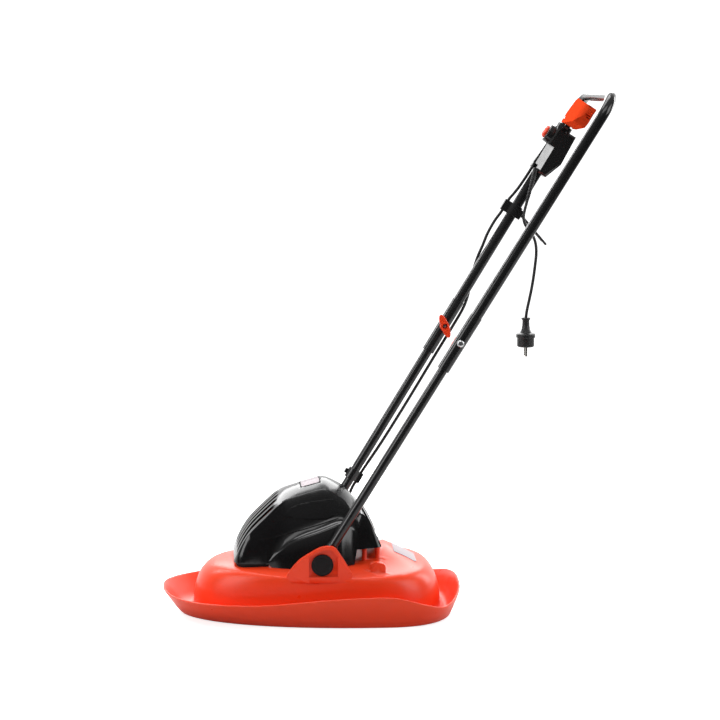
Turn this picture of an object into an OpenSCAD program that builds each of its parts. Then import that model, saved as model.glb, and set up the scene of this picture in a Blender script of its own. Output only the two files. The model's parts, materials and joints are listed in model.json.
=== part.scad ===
// Electric hover mower: a boat-shaped deck with a turned-up lip, a slotted motor cover,
// a direct-drive motor with impeller and bar blade, and a pivoting tubular handle with its switch.
// Millimetres. +X points to the rear, where the user walks, +Y to the user's right, +Z up.
// The origin is on the ground under the blade axis.

/* [Deck] */
// Front tip of the lip ahead of the blade axis
deck_front = 302; // [285:1:320]
// Rear tip of the lip behind the blade axis
deck_rear = 295; // [280:1:310]
// Overall width over the lip
deck_width = 410; // [395:1:430]
// Moulded wall thickness
deck_wall = 3.5; // [2.5:0.1:4.5]
// Height of the flat top that carries the motor
deck_top = 108; // [106:0.5:112]
// Height of the crest behind the motor cover
crest_height = 135; // [125:1:136]
// Height of the lip at its highest, beside the rear third
lip_peak = 66; // [55:1:75]
// Height of the lip at the front tip
lip_front = 52; // [45:1:60]
// Height of the lip at the rear tip
lip_rear = 60; // [45:1:65]
// Height of the lip at its low rear corners
lip_corner = 37; // [32:1:45]
// Height of the trough floor behind the lip
trough_floor = 5; // [4:0.5:8]
// Radius of the air inlet under the motor
inlet_r = 62; // [56:0.5:66]

/* [Motor cover] */
// Wall of the motor cover
cover_wall = 3; // [2:0.1:4]
// Height of the cover's ridge above the ground
cover_height = 269; // [260:1:285]
// Half width of the cover at its foot
cover_half = 97; // [92:0.5:102]
// Width of one air slot
slot_w = 13; // [8:0.5:16]
// Number of air slots in the sloping front
slot_count = 7; // [5:2:7]
// Half width of the flared side panels by the handle pivots
fender_half = 114; // [112:0.5:118]

/* [Motor and blade] */
// Blade length from tip to tip
blade_len = 280; // [250:1:284]
// Blade width
blade_w = 46; // [36:1:54]
// Blade thickness
blade_t = 3; // [2:0.1:4]
// Height of the blade's underside
blade_z = 21; // [18:0.5:24]
// Impeller diameter
impeller_d = 226; // [200:1:240]
// Number of impeller vanes
vane_count = 9; // [6:1:12]
// Height of the impeller vanes
vane_h = 27; // [18:0.5:30]
// Shaft diameter
shaft_d = 12; // [10:0.5:14]
// Outside diameter of the motor can
can_d = 100; // [94:0.5:106]
// Height of the motor can
can_h = 94; // [88:0.5:100]
// Air gap between the armature and the field
air_gap = 0.6; // [0.4:0.1:1]

/* [Handle] */
// Slope of the handle in the working position
handle_angle = 58.4; // [54:0.1:64]
// Length from the pivot to the middle of the crossbar
handle_len = 1065; // [1040:1:1090]
// Distance between the leg centres at the pivots
pivot_gap = 259; // [257:0.5:261]
// Distance between the leg centres at the top
top_gap = 332; // [320:1:345]
// Height of the pivots above the ground
pivot_z = 121.5; // [119:0.5:125]
// Distance of the pivots behind the blade axis
pivot_x = 12; // [8:0.5:16]
// Diameter of the upper tube
upper_d = 22; // [20:0.5:24]
// Diameter of the lower tubes
lower_d = 19; // [17:0.5:19]
// Wall of the handle tubes
tube_wall = 1.4; // [1:0.1:1.5]
// Bend radius of the upper handle's corners
bend_r = 45; // [36:1:60]
// Distance of the joint bolts from the pivot
bolt_s = 511; // [500:1:525]
// Length of a joint sleeve
sleeve_len = 122; // [110:1:130]
// Diameter of a joint sleeve
sleeve_d = 24.6; // [24.2:0.1:27]
// Length of a wing knob
knob_len = 52; // [44:1:60]
// Diameter of a pivot cap
cap_d = 43; // [36:0.5:46]

/* [Controls] */
// Length of the switch box along the tube
box_len = 105; // [98:1:115]
// Width of the switch box across the tube
box_w = 44; // [38:0.5:50]
// Diameter of the lock-off button's round housing
boss_d = 40; // [36:0.5:44]
// Diameter of the lock-off button
button_d = 26; // [20:0.5:30]
// Travel of the lock-off button
button_travel = 4; // [3:0.5:4]
// Length of the trigger lever along the crossbar
lever_len = 146; // [120:1:160]
// Outside width of the trigger lever's channel
lever_w = 28; // [27:0.5:32]
// Depth of the trigger lever's channel
lever_depth = 58; // [50:1:60]

/* [Cable and plug] */
// Diameter of both cables
cable_d = 6.2; // [5.5:0.1:7]
// Diameter of the plug's flange
plug_flange_d = 39.7; // [36:0.1:42]
// Diameter of the plug's body
plug_body_d = 35.5; // [32:0.1:36]
// Diameter of a plug pin
plug_pin_d = 4.8; // [4:0.1:5]
// Distance between the plug pins
plug_pin_gap = 19; // [18:0.5:20]

/* [Hidden] */
$fn = 48;

// Small fits
press_gap = 0.05;
run_gap = 0.05;
screw_gap = 0.15;
part_gap = 0.3;

orange = "#e2401c";
black = "#1b1b1d";
grey = "#8d9196";
steel = "#b9bcc0";
copper = "#b0683a";

function lerp(a, b, t) = a + (b - a) * t;
function clamp01(t) = min(1, max(0, t));
function ease(t) = t * t * (3 - 2 * t);
function signed_pow(v, p) = sign(v) * pow(abs(v), p);
function unit(v) = v / norm(v);

// Value at x in a table of [x, value] rows, with smooth slopes between the rows
function slope_at(tab, i) =
    let (a = max(0, i - 1), b = min(len(tab) - 1, i + 1))
    (tab[b][1] - tab[a][1]) / (tab[b][0] - tab[a][0]);
function row_before(tab, x) = max([0, for (i = [0 : len(tab) - 2]) if (tab[i][0] <= x) i]);
function smooth_at(tab, x) =
    let (
        i = row_before(tab, x),
        h = tab[i + 1][0] - tab[i][0],
        t = clamp01((x - tab[i][0]) / h),
        t2 = t * t,
        t3 = t2 * t
    )
    tab[i][1] * (2 * t3 - 3 * t2 + 1) + slope_at(tab, i) * h * (t3 - 2 * t2 + t)
    + tab[i + 1][1] * (3 * t2 - 2 * t3) + slope_at(tab, i + 1) * h * (t3 - t2);

// Quads between successive rings of equal length; the last ring joins the first
function ring_faces(rings, sides) = [
    for (i = [0 : rings - 1])
        for (j = [0 : sides - 1])
            let (k = (i + 1) % rings, m = (j + 1) % sides)
            for (f = [[i * sides + j, k * sides + m, k * sides + j],
                      [i * sides + j, i * sides + m, k * sides + m]]) f
];

// Tube swept along a smooth curve through hand-chosen points
function curve_point(p, i, t) =
    let (
        n = len(p) - 1,
        a = p[max(0, i - 1)], b = p[i], c = p[min(n, i + 1)], d = p[min(n, i + 2)]
    )
    0.5 * (2 * b + (c - a) * t + (2 * a - 5 * b + 4 * c - d) * t * t
           + (3 * b - a - 3 * c + d) * t * t * t);
function curve(p, steps) = concat(
    [for (i = [0 : len(p) - 2]) for (k = [0 : steps - 1]) curve_point(p, i, k / steps)],
    [p[len(p) - 1]]
);
module swept_tube(points, r, sides) {
    n = len(points);
    rings = [
        for (i = [0 : n - 1])
            let (
                t = unit(points[min(n - 1, i + 1)] - points[max(0, i - 1)]),
                u = unit(cross(t, [0, 1, 0.2])),
                v = cross(t, u)
            )
            for (j = [0 : sides - 1])
                points[i] + r * (u * cos(360 * j / sides) + v * sin(360 * j / sides))
    ];
    walls = [
        for (i = [0 : n - 2])
            for (j = [0 : sides - 1])
                let (m = (j + 1) % sides)
                for (f = [[i * sides + j, i * sides + m, (i + 1) * sides + m],
                          [i * sides + j, (i + 1) * sides + m, (i + 1) * sides + j]]) f
    ];
    caps = [
        [for (j = [sides - 1 : -1 : 0]) j],
        [for (j = [0 : sides - 1]) (n - 1) * sides + j]
    ];
    polyhedron(rings, concat(walls, caps), convexity = 8);
}

// Places children with their Z axis from p towards q
module between(p, q) {
    d = q - p;
    translate(p)
        rotate([0, acos(d[2] / norm(d)), atan2(d[1], d[0])])
            children();
}

module ring_solid(r_out, r_in, z0, z1) {
    translate([0, 0, z0])
        difference() {
            cylinder(r = r_out, h = z1 - z0);
            translate([0, 0, -1]) cylinder(r = r_in, h = z1 - z0 + 2);
        }
}

module mirror_pair() {
    children();
    mirror([0, 1, 0]) children();
}

// Deck outlines. A ring is [x of its widest station, half width, front x, rear x,
// front and rear fullness, z at the front, side and rear]
deck_half = deck_width / 2;
dome_foot_z = 14;
dome_full = 2.35;
shoulder_swell = 0.8;
floor_ring = [130, deck_half - 31, -deck_front + 36, deck_rear - 18, 2.1, 2.6];
lip_ring = [120, deck_half, -deck_front, deck_rear, 2.5, 2.8];
foot_ring = [95, deck_half - 49, -deck_front + 61, deck_rear - 39, 2.25, 2.7];
shoulder_ring = [40, deck_half - 56, -deck_front + 127, deck_rear - 90, 2.3, 2.8];
crest_ring = [12, 100, -150, 146, 2.2, 2.6];
seat_r = 92;
deck_sides = 64;
ramp_angle = atan2(crest_height - 104, 66);

function outline(ring, t, inset = 0) =
    let (
        rear = cos(t) >= 0,
        n = rear ? ring[5] : ring[4],
        reach = rear ? ring[3] - ring[0] : ring[0] - ring[2]
    )
    [
        ring[0] + (reach - inset) * signed_pow(cos(t), 2 / n),
        (ring[1] - inset) * signed_pow(sin(t), 2 / n)
    ];
function mixed(a, b, t, w, inset = 0) = lerp(outline(a, t, inset), outline(b, t, inset), w);
function rear_share(t, p) = cos(t) > 0 ? pow(cos(t), p) : 0;
function front_share(t, p) = cos(t) < 0 ? pow(-cos(t), p) : 0;
lip_table = [
    [0, lip_rear], [24, lip_rear - 11], [47, lip_corner], [66, lip_corner + 11],
    [86, lip_peak], [96, lip_peak - 1], [118, lip_front - 2], [145, lip_front - 6], [180, lip_front]
];
function lip_z(t) = smooth_at(lip_table, t > 180 ? 360 - t : t);
function crest_z(t) = deck_top + (crest_height - deck_top) * rear_share(t, 5);
function shoulder_z(t) = deck_top - 14 + 13 * front_share(t, 2) + 7 * rear_share(t, 2);
function at_z(p, z) = [p[0], p[1], z];

// Dome wall between the foot (v = 0) and the shoulder (v = 1)
function dome_point(t, v, inset, drop) =
    let (
        rise = pow(sin(90 * v), 2 / dome_full),
        lean = 1 - pow(cos(90 * v), 2 / dome_full)
    )
    at_z(
        mixed(foot_ring, shoulder_ring, t, lean, inset),
        lerp(dome_foot_z, shoulder_z(t), rise) - drop
    );
// Outer face of the turned-up lip, between the ground (w = 0) and its edge (w = 1)
function lip_point(t, w, inset) =
    at_z(mixed(floor_ring, lip_ring, t, w, inset), lip_z(t) * pow(w, 1.12));
function circle_point(r, t, z) = [r * cos(t), r * sin(t), z];

lip_edge = deck_wall / 2;
deck_ts = [for (j = [0 : deck_sides - 1]) 360 * j / deck_sides];
deck_rings = concat(
    [for (r = [inlet_r, seat_r]) [for (t = deck_ts) circle_point(r, t, deck_top)]],
    [for (w = [0.55, 1]) [for (t = deck_ts)
        at_z(lerp(circle_point(seat_r, t, 0), at_z(outline(crest_ring, t), 0), w),
             lerp(deck_top, crest_z(t), ease(w)))]],
    [for (w = [0.35, 0.7]) [for (t = deck_ts)
        at_z(mixed(crest_ring, shoulder_ring, t, w),
             lerp(crest_z(t), shoulder_z(t), w) + shoulder_swell)]],
    [for (v = [1 : -0.125 : 0.01]) [for (t = deck_ts) dome_point(t, v, 0, 0)]],
    [[for (t = deck_ts) dome_point(t, 0, 0, 0)]],
    [[for (t = deck_ts) at_z(outline(foot_ring, t, -2), trough_floor + 2.5)]],
    [[for (t = deck_ts) at_z(mixed(foot_ring, floor_ring, t, 0.42), trough_floor)]],
    [[for (t = deck_ts) at_z(mixed(foot_ring, floor_ring, t, 0.72), trough_floor)]],
    [for (w = [0.22, 0.45, 0.7, 0.96]) [for (t = deck_ts)
        lip_point(t, w, deck_wall) + [0, 0, lip_edge]]],
    [[for (t = deck_ts) lip_point(t, 1, lip_edge) + [0, 0, lip_edge]]],
    [for (w = [1, 0.75, 0.5, 0.25, 0.05]) [for (t = deck_ts) lip_point(t, w, 0)]],
    [[for (t = deck_ts) at_z(outline(floor_ring, t, 2), 0)]],
    [[for (t = deck_ts) at_z(outline(foot_ring, t, deck_wall), 0)]],
    [for (v = [0.3, 0.6, 0.82, 1]) [for (t = deck_ts) dome_point(t, v, deck_wall, deck_wall)]],
    [[for (t = deck_ts) at_z(outline(crest_ring, t, deck_wall), crest_z(t) - deck_wall)]],
    [for (r = [seat_r, inlet_r]) [for (t = deck_ts) circle_point(r, t, deck_top - deck_wall)]]
);

module deck_skin() {
    points = [for (ring = deck_rings) for (p = ring) p];
    polyhedron(points, ring_faces(len(deck_rings), deck_sides), convexity = 10);
}

// Pivot towers
pivot_half = pivot_gap / 2;
tower_in = pivot_half + 14;
tower_t = 10.5;
tower_out = tower_in + tower_t;
recess_floor = tower_in + 4;
bush_r = 14;
axle_r = 10;
// Outline of a tower seen from the side, measured from the pivot
tower_top = [
    [-69, -23], [-63, -12], [-46, 9], [-31, 20], [-10, 33], [4, 37.5], [19, 37.5], [26, 34], [30, 29],
    [43, 9], [57, -16], [58, -23]
];
tower_foot = -34;
// Ends of a tower's flat middle, measured from the pivot; beyond them it turns in to the dome
tower_flat = [-26, 33];
tower_turn = [14, 6];

module tower_outline(inset) {
    k = 1 - inset / 45;
    translate([pivot_x, pivot_z])
        polygon(concat(
            [[tower_top[0][0] * k, tower_foot], [tower_top[len(tower_top) - 1][0] * k, tower_foot]],
            [for (i = [len(tower_top) - 1 : -1 : 0]) tower_top[i] * k]
        ));
}
module tower_plan() {
    front = tower_top[0][0];
    back = tower_top[len(tower_top) - 1][0];
    translate([pivot_x, 0])
        polygon([
            [front, tower_in - tower_turn[0]], [tower_flat[0] + 4, tower_in], [tower_flat[1] + 4, tower_in],
            [back, tower_in - tower_turn[1]], [back, tower_out - tower_turn[1]], [tower_flat[1], tower_out],
            [tower_flat[0], tower_out], [front, tower_out - tower_turn[0]]
        ]);
}

module flat_xz(y0, y1) {
    translate([0, y1, 0]) rotate([90, 0, 0]) linear_extrude(y1 - y0) children();
}

module tower() {
    intersection() {
        flat_xz(tower_in - 30, tower_out + 1) tower_outline(0);
        linear_extrude(pivot_z + 60) tower_plan();
    }
}
// Webs inside the dome that carry a tower
web_t = 3;
web_reach = 95;
web_z = [70, 92];
module tower_webs() {
    for (x = [-40, 0, 40])
        translate([pivot_x + x - web_t / 2, deck_half - web_reach, web_z[0]])
            cube([web_t, tower_in + 1 - deck_half + web_reach, web_z[1] - web_z[0]]);
}

recess_half = cap_d / 2 + 7;
module tower_recess() {
    intersection() {
        flat_xz(recess_floor, tower_out + 1) tower_outline(8);
        translate([pivot_x - recess_half + 2, recess_floor, pivot_z - cap_d / 2 - 1.5])
            cube([2 * recess_half, tower_t, cap_d * 2]);
    }
}

rib_count = 10;
rib_drop = 7;
post_r = 5;
cover_post_x = [100, 126];
cover_post_y = 66;
bracket_hole_r = 78;
cover_boss = [-72, 76];
cover_screw_r = 2;

module deck_rib(a) {
    hull() {
        rotate([0, 0, a]) translate([inlet_r + 1, -1.2, deck_top - deck_wall - rib_drop])
            cube([1, 2.4, rib_drop + 1]);
        rotate([0, 0, a]) translate([crest_ring[1] - 4, -1.2, deck_top - deck_wall - 3])
            cube([1, 2.4, 4]);
    }
}

lug = [[108, 104, 94], [30, 20, 24]];

module hover_deck() {
    color(orange)
        difference() {
            union() {
                deck_skin();
                mirror_pair() {
                    tower();
                    tower_webs();
                }
                ring_solid(inlet_r + 3, inlet_r, deck_top - deck_wall - 14, deck_top);
                for (i = [0 : rib_count - 1]) deck_rib(360 * (i + 0.5) / rib_count);
                mirror_pair() {
                    translate(lug[0]) cube(lug[1]);
                    for (x = cover_post_x)
                        translate([x, cover_post_y, deck_top - 3])
                            cylinder(r = post_r, h = cover_rear_foot - deck_top + 3 - part_gap, $fn = 24);
                }
            }
            mirror_pair() {
                tower_recess();
                translate([pivot_x, tower_out + 1, pivot_z]) rotate([90, 0, 0])
                    cylinder(r = bush_r + 0.2, h = tower_t + 2, $fn = 48);
            }
            mirror_pair()
                translate([cover_boss[0], cover_boss[1], deck_top - 20])
                    cylinder(r = cover_screw_r + 0.2, h = 40, $fn = 16);
            for (i = [0 : 3])
                rotate([0, 0, 45 + 90 * i]) translate([bracket_hole_r, 0, deck_top - 20])
                    cylinder(r = 2.2, h = 40, $fn = 16);
            translate([184, 0, (crest_height + 104) / 2 - 1.5])
                rotate([0, ramp_angle, 0])
                    cube([50, 84, 2.4], center = true);
        }
}

// Motor cover: cross sections along X. Rows are [x, value]
ridge = cover_height;
cover_rear_foot = 138;
cover_front_foot = 112;
roof_z = [
    [-160, 121], [-155, 136], [-150, 148], [-138, 169], [-124, 188], [-96, 216], [-76, 234], [-60, 245.5],
    [-31, ridge - 13], [0, ridge - 4.5], [18, ridge], [29, ridge - 1], [58, ridge - 16],
    [70, 242], [80, 230], [93, 212], [104, 194], [115, 174], [124, 156], [131, 140], [138, 122]
];
crease_z = [
    [-160, 112], [-150, 135], [-138, 157], [-124, 176], [-96, 203], [-76, 222], [-60, 233],
    [-31, ridge - 28], [0, ridge - 19], [18, ridge - 16], [29, ridge - 18], [58, ridge - 36], [66, 225],
    [73, 215], [79, 201], [84, 195], [89, 199], [93, 205], [97, 207], [104, 200], [115, 181], [124, 164],
    [131, 148], [138, 128]
];
crease_y = [
    [-160, 66], [-150, 77], [-124, 80], [-96, 79], [-76, 75], [-58, 66], [-31, 61], [18, 60],
    [58, 63], [73, 68], [84, 74], [97, 77], [131, 79], [138, 76]
];
foot_y = [
    [-160, cover_half - 29], [-150, cover_half - 14], [-124, cover_half - 8], [-60, cover_half - 2],
    [0, cover_half], [60, cover_half - 2], [106, cover_half - 8],
    [131, cover_half - 11], [138, cover_half - 14]
];
// Line along the side where the panel round the handle pivot flares out, and its share of the flare
belt_z = [
    [-160, 104], [-110, 108], [-92, 118], [-82, 133], [-70, 143], [-50, 158], [-20, 171], [7, 180],
    [30, 188], [48, 194], [58, 194], [68, 190], [80, 178], [97, 160], [115, 146], [138, 112]
];
belt_share = [
    [-160, 0], [-98, 0], [-88, 0.12], [-70, 0.5], [-48, 0.82], [-10, 1], [40, 1], [54, 0.8], [66, 0.4],
    [78, 0.1], [88, 0], [138, 0]
];
cover_xs = [
    -160, -157, -153, -148, -141, -133, -124, -110, -96, -88, -80, -72, -64, -56, -44, -31, -16, 0, 10, 18,
    25, 33, 44, 54, 62, 69, 75, 80, 84, 88, 92, 97, 104, 112, 120, 127, 133, 138
];
rear_stations = 22;
side_bulge = 16;
belt_drop = 7;
cover_floor = 92;
rim_start = 80;
rim_end = 93;
lower_steps = 3;
upper_steps = 4;
roof_shares = [1, 0.94, 0.8, 0.6, 0.4, 0.2, 0];

// One cross section from the right foot over the roof to the left foot
function side_y(x, z, wall) =
    let (
        low = cover_floor,
        v = (z - low) / (smooth_at(crease_z, x) - low)
    )
    lerp(smooth_at(foot_y, x), smooth_at(crease_y, x), v) + side_bulge * v * (1 - v) - wall;
function half_section(x, wall) =
    let (
        cy = smooth_at(crease_y, x) - wall * 0.8,
        cz = smooth_at(crease_z, x) - wall * 0.9,
        tz = smooth_at(roof_z, x) - wall * 1.15,
        bz = smooth_at(belt_z, x) - wall * 0.7,
        lz = bz - belt_drop,
        out = max(0, smooth_at(belt_share, x)) * (fender_half - cover_half),
        power = lerp(2, 9, ease(clamp01((x - rim_start) / (rim_end - rim_start))))
    )
    concat(
        [for (k = [0 : lower_steps]) let (z = lerp(min(cover_floor, lz - 4), lz, k / lower_steps))
            [side_y(x, z, wall) + out, z]],
        [[side_y(x, bz - 1.5, wall) + out * 0.72, bz - 1.5]],
        [for (k = [0 : upper_steps - 1]) let (z = lerp(bz, cz, k / upper_steps)) [side_y(x, z, wall), z]],
        [for (v = roof_shares) [cy * v, lerp(tz, cz, pow(v, power))]]
    );
function full_section(x, wall) =
    let (h = half_section(x, wall), n = len(h))
    concat(
        [for (p = h) [x, p[0], p[1]]],
        [for (i = [n - 2 : -1 : 0]) [x, -h[i][0], h[i][1]]]
    );

// The inner face has every second section, and ends one wall inside the outer
module cover_body(wall, first = 0) {
    picked = [for (i = [first : wall > 0 ? 2 : 1 : len(cover_xs) - 1]) cover_xs[i]];
    function end_shift(x) = wall * (x < 0 ? 1 : -1) * min(1, pow(abs(x) / 150, 4));
    sections = [for (x = picked) full_section(x, wall)];
    n = len(sections[0]);
    points = [for (s = sections) for (p = s) p + [end_shift(p[0]), 0, 0]];
    walls = [
        for (i = [0 : len(picked) - 2])
            for (j = [0 : n - 1])
                let (m = (j + 1) % n)
                for (f = [[i * n + j, (i + 1) * n + j, (i + 1) * n + m],
                          [i * n + j, (i + 1) * n + m, i * n + m]]) f
    ];
    caps = [
        [for (j = [0 : n - 1]) j],
        [for (j = [n - 1 : -1 : 0]) (len(picked) - 1) * n + j]
    ];
    polyhedron(points, concat(walls, caps), convexity = 8);
}

// The deck's upper face with a clearance, and everything under the cover's front and rear edges
module deck_clear() {
    rings = concat(
        [[for (t = deck_ts) circle_point(seat_r, t, cover_floor - 20)]],
        [for (i = [1 : 6]) deck_rings[i]],
        [[for (t = deck_ts) at_z(outline(shoulder_ring, t), cover_floor - 20)]]
    );
    points = [for (i = [0 : len(rings) - 1]) for (p = rings[i]) p + [0, 0, part_gap]];
    polyhedron(points, ring_faces(len(rings), deck_sides), convexity = 6);
}
module under_edge() {
    flat_xz(-200, 200)
        polygon([
            [-200, 0], [-200, cover_front_foot], [-92, cover_front_foot], [-72, cover_floor + 3],
            [76, cover_floor + 3], [84, cover_rear_foot], [200, cover_rear_foot + 7], [200, 0]
        ]);
    deck_clear();
    translate([0, 0, cover_floor - 20]) cylinder(r = seat_r + 1, h = deck_top - cover_floor + 20 + part_gap);
}

slot_pitch = 21;
slot_front_x = -154;
function slot_rear_x(i) = -84 + 10 * (1 - pow(abs(i) * 2 / (slot_count - 1), 2));
module air_slot(i) {
    hull() {
        translate([slot_front_x + slot_w / 2, i * slot_pitch, 118]) cylinder(d = slot_w, h = 160, $fn = 16);
        translate([slot_rear_x(i), i * slot_pitch, 118]) cylinder(d = slot_w, h = 160, $fn = 16);
    }
}

// Badge place on the ridge, left bare
badge = [42, 64];
badge_x = -6;
badge_r = 116;
badge_tilt = 15.2;
badge_t = 1.4;
badge_corner = 6;
function badge_z() = smooth_at(roof_z, badge_x);
module badge_block(grow) {
    translate([badge_x, 0, badge_z()])
        rotate([0, -badge_tilt, 0])
            translate([0, 0, -12])
                linear_extrude(24)
                    hull()
                        for (u = [-1, 1], v = [-1, 1])
                            translate([u * (badge[0] / 2 - badge_corner), v * (badge[1] / 2 - badge_corner)])
                                circle(r = badge_corner + grow / 2, $fn = 24);
}
module badge_arc(depth) {
    translate([badge_x, 0, badge_z()])
        rotate([0, -badge_tilt, 0])
            translate([0, 0, -badge_r - depth]) rotate([0, 90, 0])
                cylinder(r = badge_r, h = 120, center = true, $fn = 120);
}

// Cable gland on the right side of the cover, above the flared panel
gland_at = [66, cover_half - 24, 206];
gland_tilt = 17;
gland_r = 5;
gland_out = 2.6;
gland_flange = 4;
module at_gland() {
    translate(gland_at) rotate([-90 + gland_tilt, 0, 0]) children();
}
function from_gland(d) = gland_at + [0, d * cos(gland_tilt), d * sin(gland_tilt)];

// Tongue at the cover's back, over the deck's crest
tongue = [[118, 26], [24, 4]];
module rear_tongue() {
    translate([tongue[0][0], -tongue[0][1] / 2, cover_rear_foot - 1])
        cube([tongue[1][0], tongue[0][1], tongue[1][1]]);
}

module motor_cover() {
    color(black)
        difference() {
            union() {
                cover_body(0);
                rear_tongue();
            }
            difference() {
                cover_body(cover_wall);
                mirror_pair()
                    translate([cover_boss[0], cover_boss[1], cover_floor])
                        cylinder(r = 6, h = 100, $fn = 20);
            }
            under_edge();
            for (i = [-(slot_count - 1) / 2 : (slot_count - 1) / 2]) air_slot(i);
            difference() {
                badge_block(1.6);
                badge_arc(badge_t + 0.6);
            }
            mirror_pair()
                translate([cover_boss[0], cover_boss[1], cover_floor])
                    cylinder(r = cover_screw_r + press_gap, h = deck_top + 18 - cover_floor, $fn = 24);
            at_gland() cylinder(r = gland_r + 0.2, h = 30, center = true, $fn = 32);
            rear_opening(0);
        }
}

// Panel set into the cover's rounded back
panel_half = 58;
panel_t = 2.4;
panel_sunk = 2.5;
panel_start = 84;
panel_h = 62;
module rear_opening(inset) {
    translate([panel_start + inset, -panel_half + inset, cover_rear_foot + 7 + inset])
        cube([panel_h, 2 * (panel_half - inset), panel_h - 2 * inset]);
}
module rear_panel() {
    color(black)
        intersection() {
            difference() {
                translate([-panel_sunk, 0, -1]) cover_body(0, rear_stations);
                translate([-panel_sunk, 0, -1]) cover_body(panel_t, rear_stations);
            }
            rear_opening(0.4);
        }
}

module badge_plate() {
    color(grey)
        difference() {
            intersection() {
                badge_block(0);
                badge_arc(0.5);
            }
            badge_arc(badge_t + 0.6 - press_gap);
        }
}

module cover_screws() {
    color(steel)
        mirror_pair()
            translate([cover_boss[0], cover_boss[1], deck_top - deck_wall - 3.2]) {
                cylinder(r = 4, h = 3);
                cylinder(r = cover_screw_r, h = 22);
            }
}

// Motor
bracket_t = 4;
can_z = deck_top + bracket_t;
can_r = can_d / 2;
can_wall = 4;
bearing_r = 16;
bearing_h = 10;
shaft_r = shaft_d / 2;
field_h = 45;
field_z = can_z + 18;
field_in = 26;
top_z = can_z + can_h;
top_t = 5;
comm_r = 14;
comm_z = field_z + field_h + 11;
comm_h = 18;
lower_bearing_z = deck_top - 2;
upper_bearing_z = top_z;

module motor_bracket() {
    color(grey)
        difference() {
            union() {
                translate([0, 0, deck_top]) cylinder(r = can_r + 2, h = bracket_t);
                for (i = [0 : 3])
                    rotate([0, 0, 45 + 90 * i]) translate([30, -9, deck_top]) cube([58, 18, bracket_t]);
                translate([0, 0, lower_bearing_z - 3]) cylinder(r = bearing_r + 5, h = bearing_h + 6);
            }
            translate([0, 0, lower_bearing_z]) cylinder(r = bearing_r + press_gap, h = bearing_h + 10);
            translate([0, 0, lower_bearing_z - 10]) cylinder(r = shaft_r + 4, h = 40);
            for (i = [0 : 3])
                rotate([0, 0, 45 + 90 * i]) translate([bracket_hole_r, 0, deck_top - 1])
                    cylinder(r = 2.2, h = bracket_t + 2);
            for (i = [0 : 3])
                rotate([0, 0, 90 * i]) translate([34, 0, deck_top - 1]) cylinder(r = 9, h = bracket_t + 2);
        }
}

module motor_can() {
    color(steel)
        difference() {
            translate([0, 0, can_z]) cylinder(r = can_r, h = can_h);
            translate([0, 0, can_z - 1]) cylinder(r = can_r - can_wall - 3, h = can_h + 2);
            translate([0, 0, field_z]) cylinder(r = can_r - can_wall, h = can_h);
            for (i = [0 : 5])
                rotate([0, 0, 60 * i]) translate([can_r - 12, -12, can_z + can_h - 24]) cube([20, 24, 15]);
        }
}

module field_core() {
    color(grey)
        difference() {
            translate([0, 0, field_z]) cylinder(r = can_r - can_wall - press_gap, h = field_h);
            translate([0, 0, field_z - 1]) cylinder(r = field_in, h = field_h + 2);
            for (a = [0, 180])
                rotate([0, 0, a]) translate([0, 0, field_z - 1])
                    difference() {
                        translate([-22, field_in - 12, 0]) cube([44, 24, field_h + 2]);
                        cylinder(r = field_in, h = field_h + 2);
                    }
        }
}

module field_coils() {
    color(copper)
        for (a = [0, 180])
            rotate([0, 0, a])
                translate([-21, field_in + 0.6, field_z - 8])
                    cube([42, 10.5, field_h + 16]);
}

module upper_bracket() {
    color(grey)
        difference() {
            union() {
                translate([0, 0, top_z]) cylinder(r = can_r, h = top_t);
                translate([0, 0, top_z + top_t]) cylinder(r = bearing_r + 4, h = bearing_h);
            }
            translate([0, 0, top_z - 1]) cylinder(r = bearing_r + press_gap, h = bearing_h + 1);
            translate([0, 0, top_z]) cylinder(r = shaft_r + 3, h = 30);
            for (i = [0 : 3])
                rotate([0, 0, 45 + 90 * i]) translate([can_r - 9, 0, top_z - 1])
                    cylinder(r = 2.1, h = top_t + 2);
        }
}

module bearing(z) {
    translate([0, 0, z])
        difference() {
            cylinder(r = bearing_r, h = bearing_h);
            translate([0, 0, -1]) cylinder(r = shaft_r + run_gap, h = bearing_h + 2);
            for (s = [-1, bearing_h - 1])
                translate([0, 0, s])
                    difference() {
                        cylinder(r = bearing_r - 3, h = 2);
                        translate([0, 0, -1]) cylinder(r = shaft_r + 3, h = 4);
                    }
        }
}
module lower_bearing() { color(steel) bearing(lower_bearing_z); }
module upper_bearing() { color(steel) bearing(upper_bearing_z - 1); }

brush_w = 8;
brush_z = comm_z + comm_h / 2;
module brush_holders() {
    color(black)
        for (a = [0, 180])
            rotate([0, 0, a + 90])
                difference() {
                    translate([comm_r + 3, -brush_w / 2 - 3, brush_z - brush_w / 2 - 3])
                        cube([24, brush_w + 6, top_z - brush_z + brush_w / 2 + 3]);
                    translate([comm_r, -brush_w / 2 - press_gap, brush_z - brush_w / 2 - press_gap])
                        cube([40, brush_w + 2 * press_gap, brush_w + 2 * press_gap]);
                }
}
module carbon_brushes() {
    color("#2b2b2b")
        for (a = [0, 180])
            rotate([0, 0, a + 90])
                translate([comm_r + part_gap, -brush_w / 2, brush_z - brush_w / 2])
                    cube([18, brush_w, brush_w]);
}

module motor_screws() {
    color(steel)
        for (i = [0 : 3])
            rotate([0, 0, 45 + 90 * i]) {
                translate([bracket_hole_r, 0, deck_top + bracket_t]) cylinder(r = 4, h = 3);
                translate([bracket_hole_r, 0, deck_top - deck_wall - 3])
                    cylinder(r = 2, h = deck_wall + bracket_t + 3);
                translate([can_r - 9, 0, top_z + top_t]) cylinder(r = 3.6, h = 2.6);
                translate([can_r - 9, 0, top_z - 8]) cylinder(r = 2, h = top_t + 8);
            }
}

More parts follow.
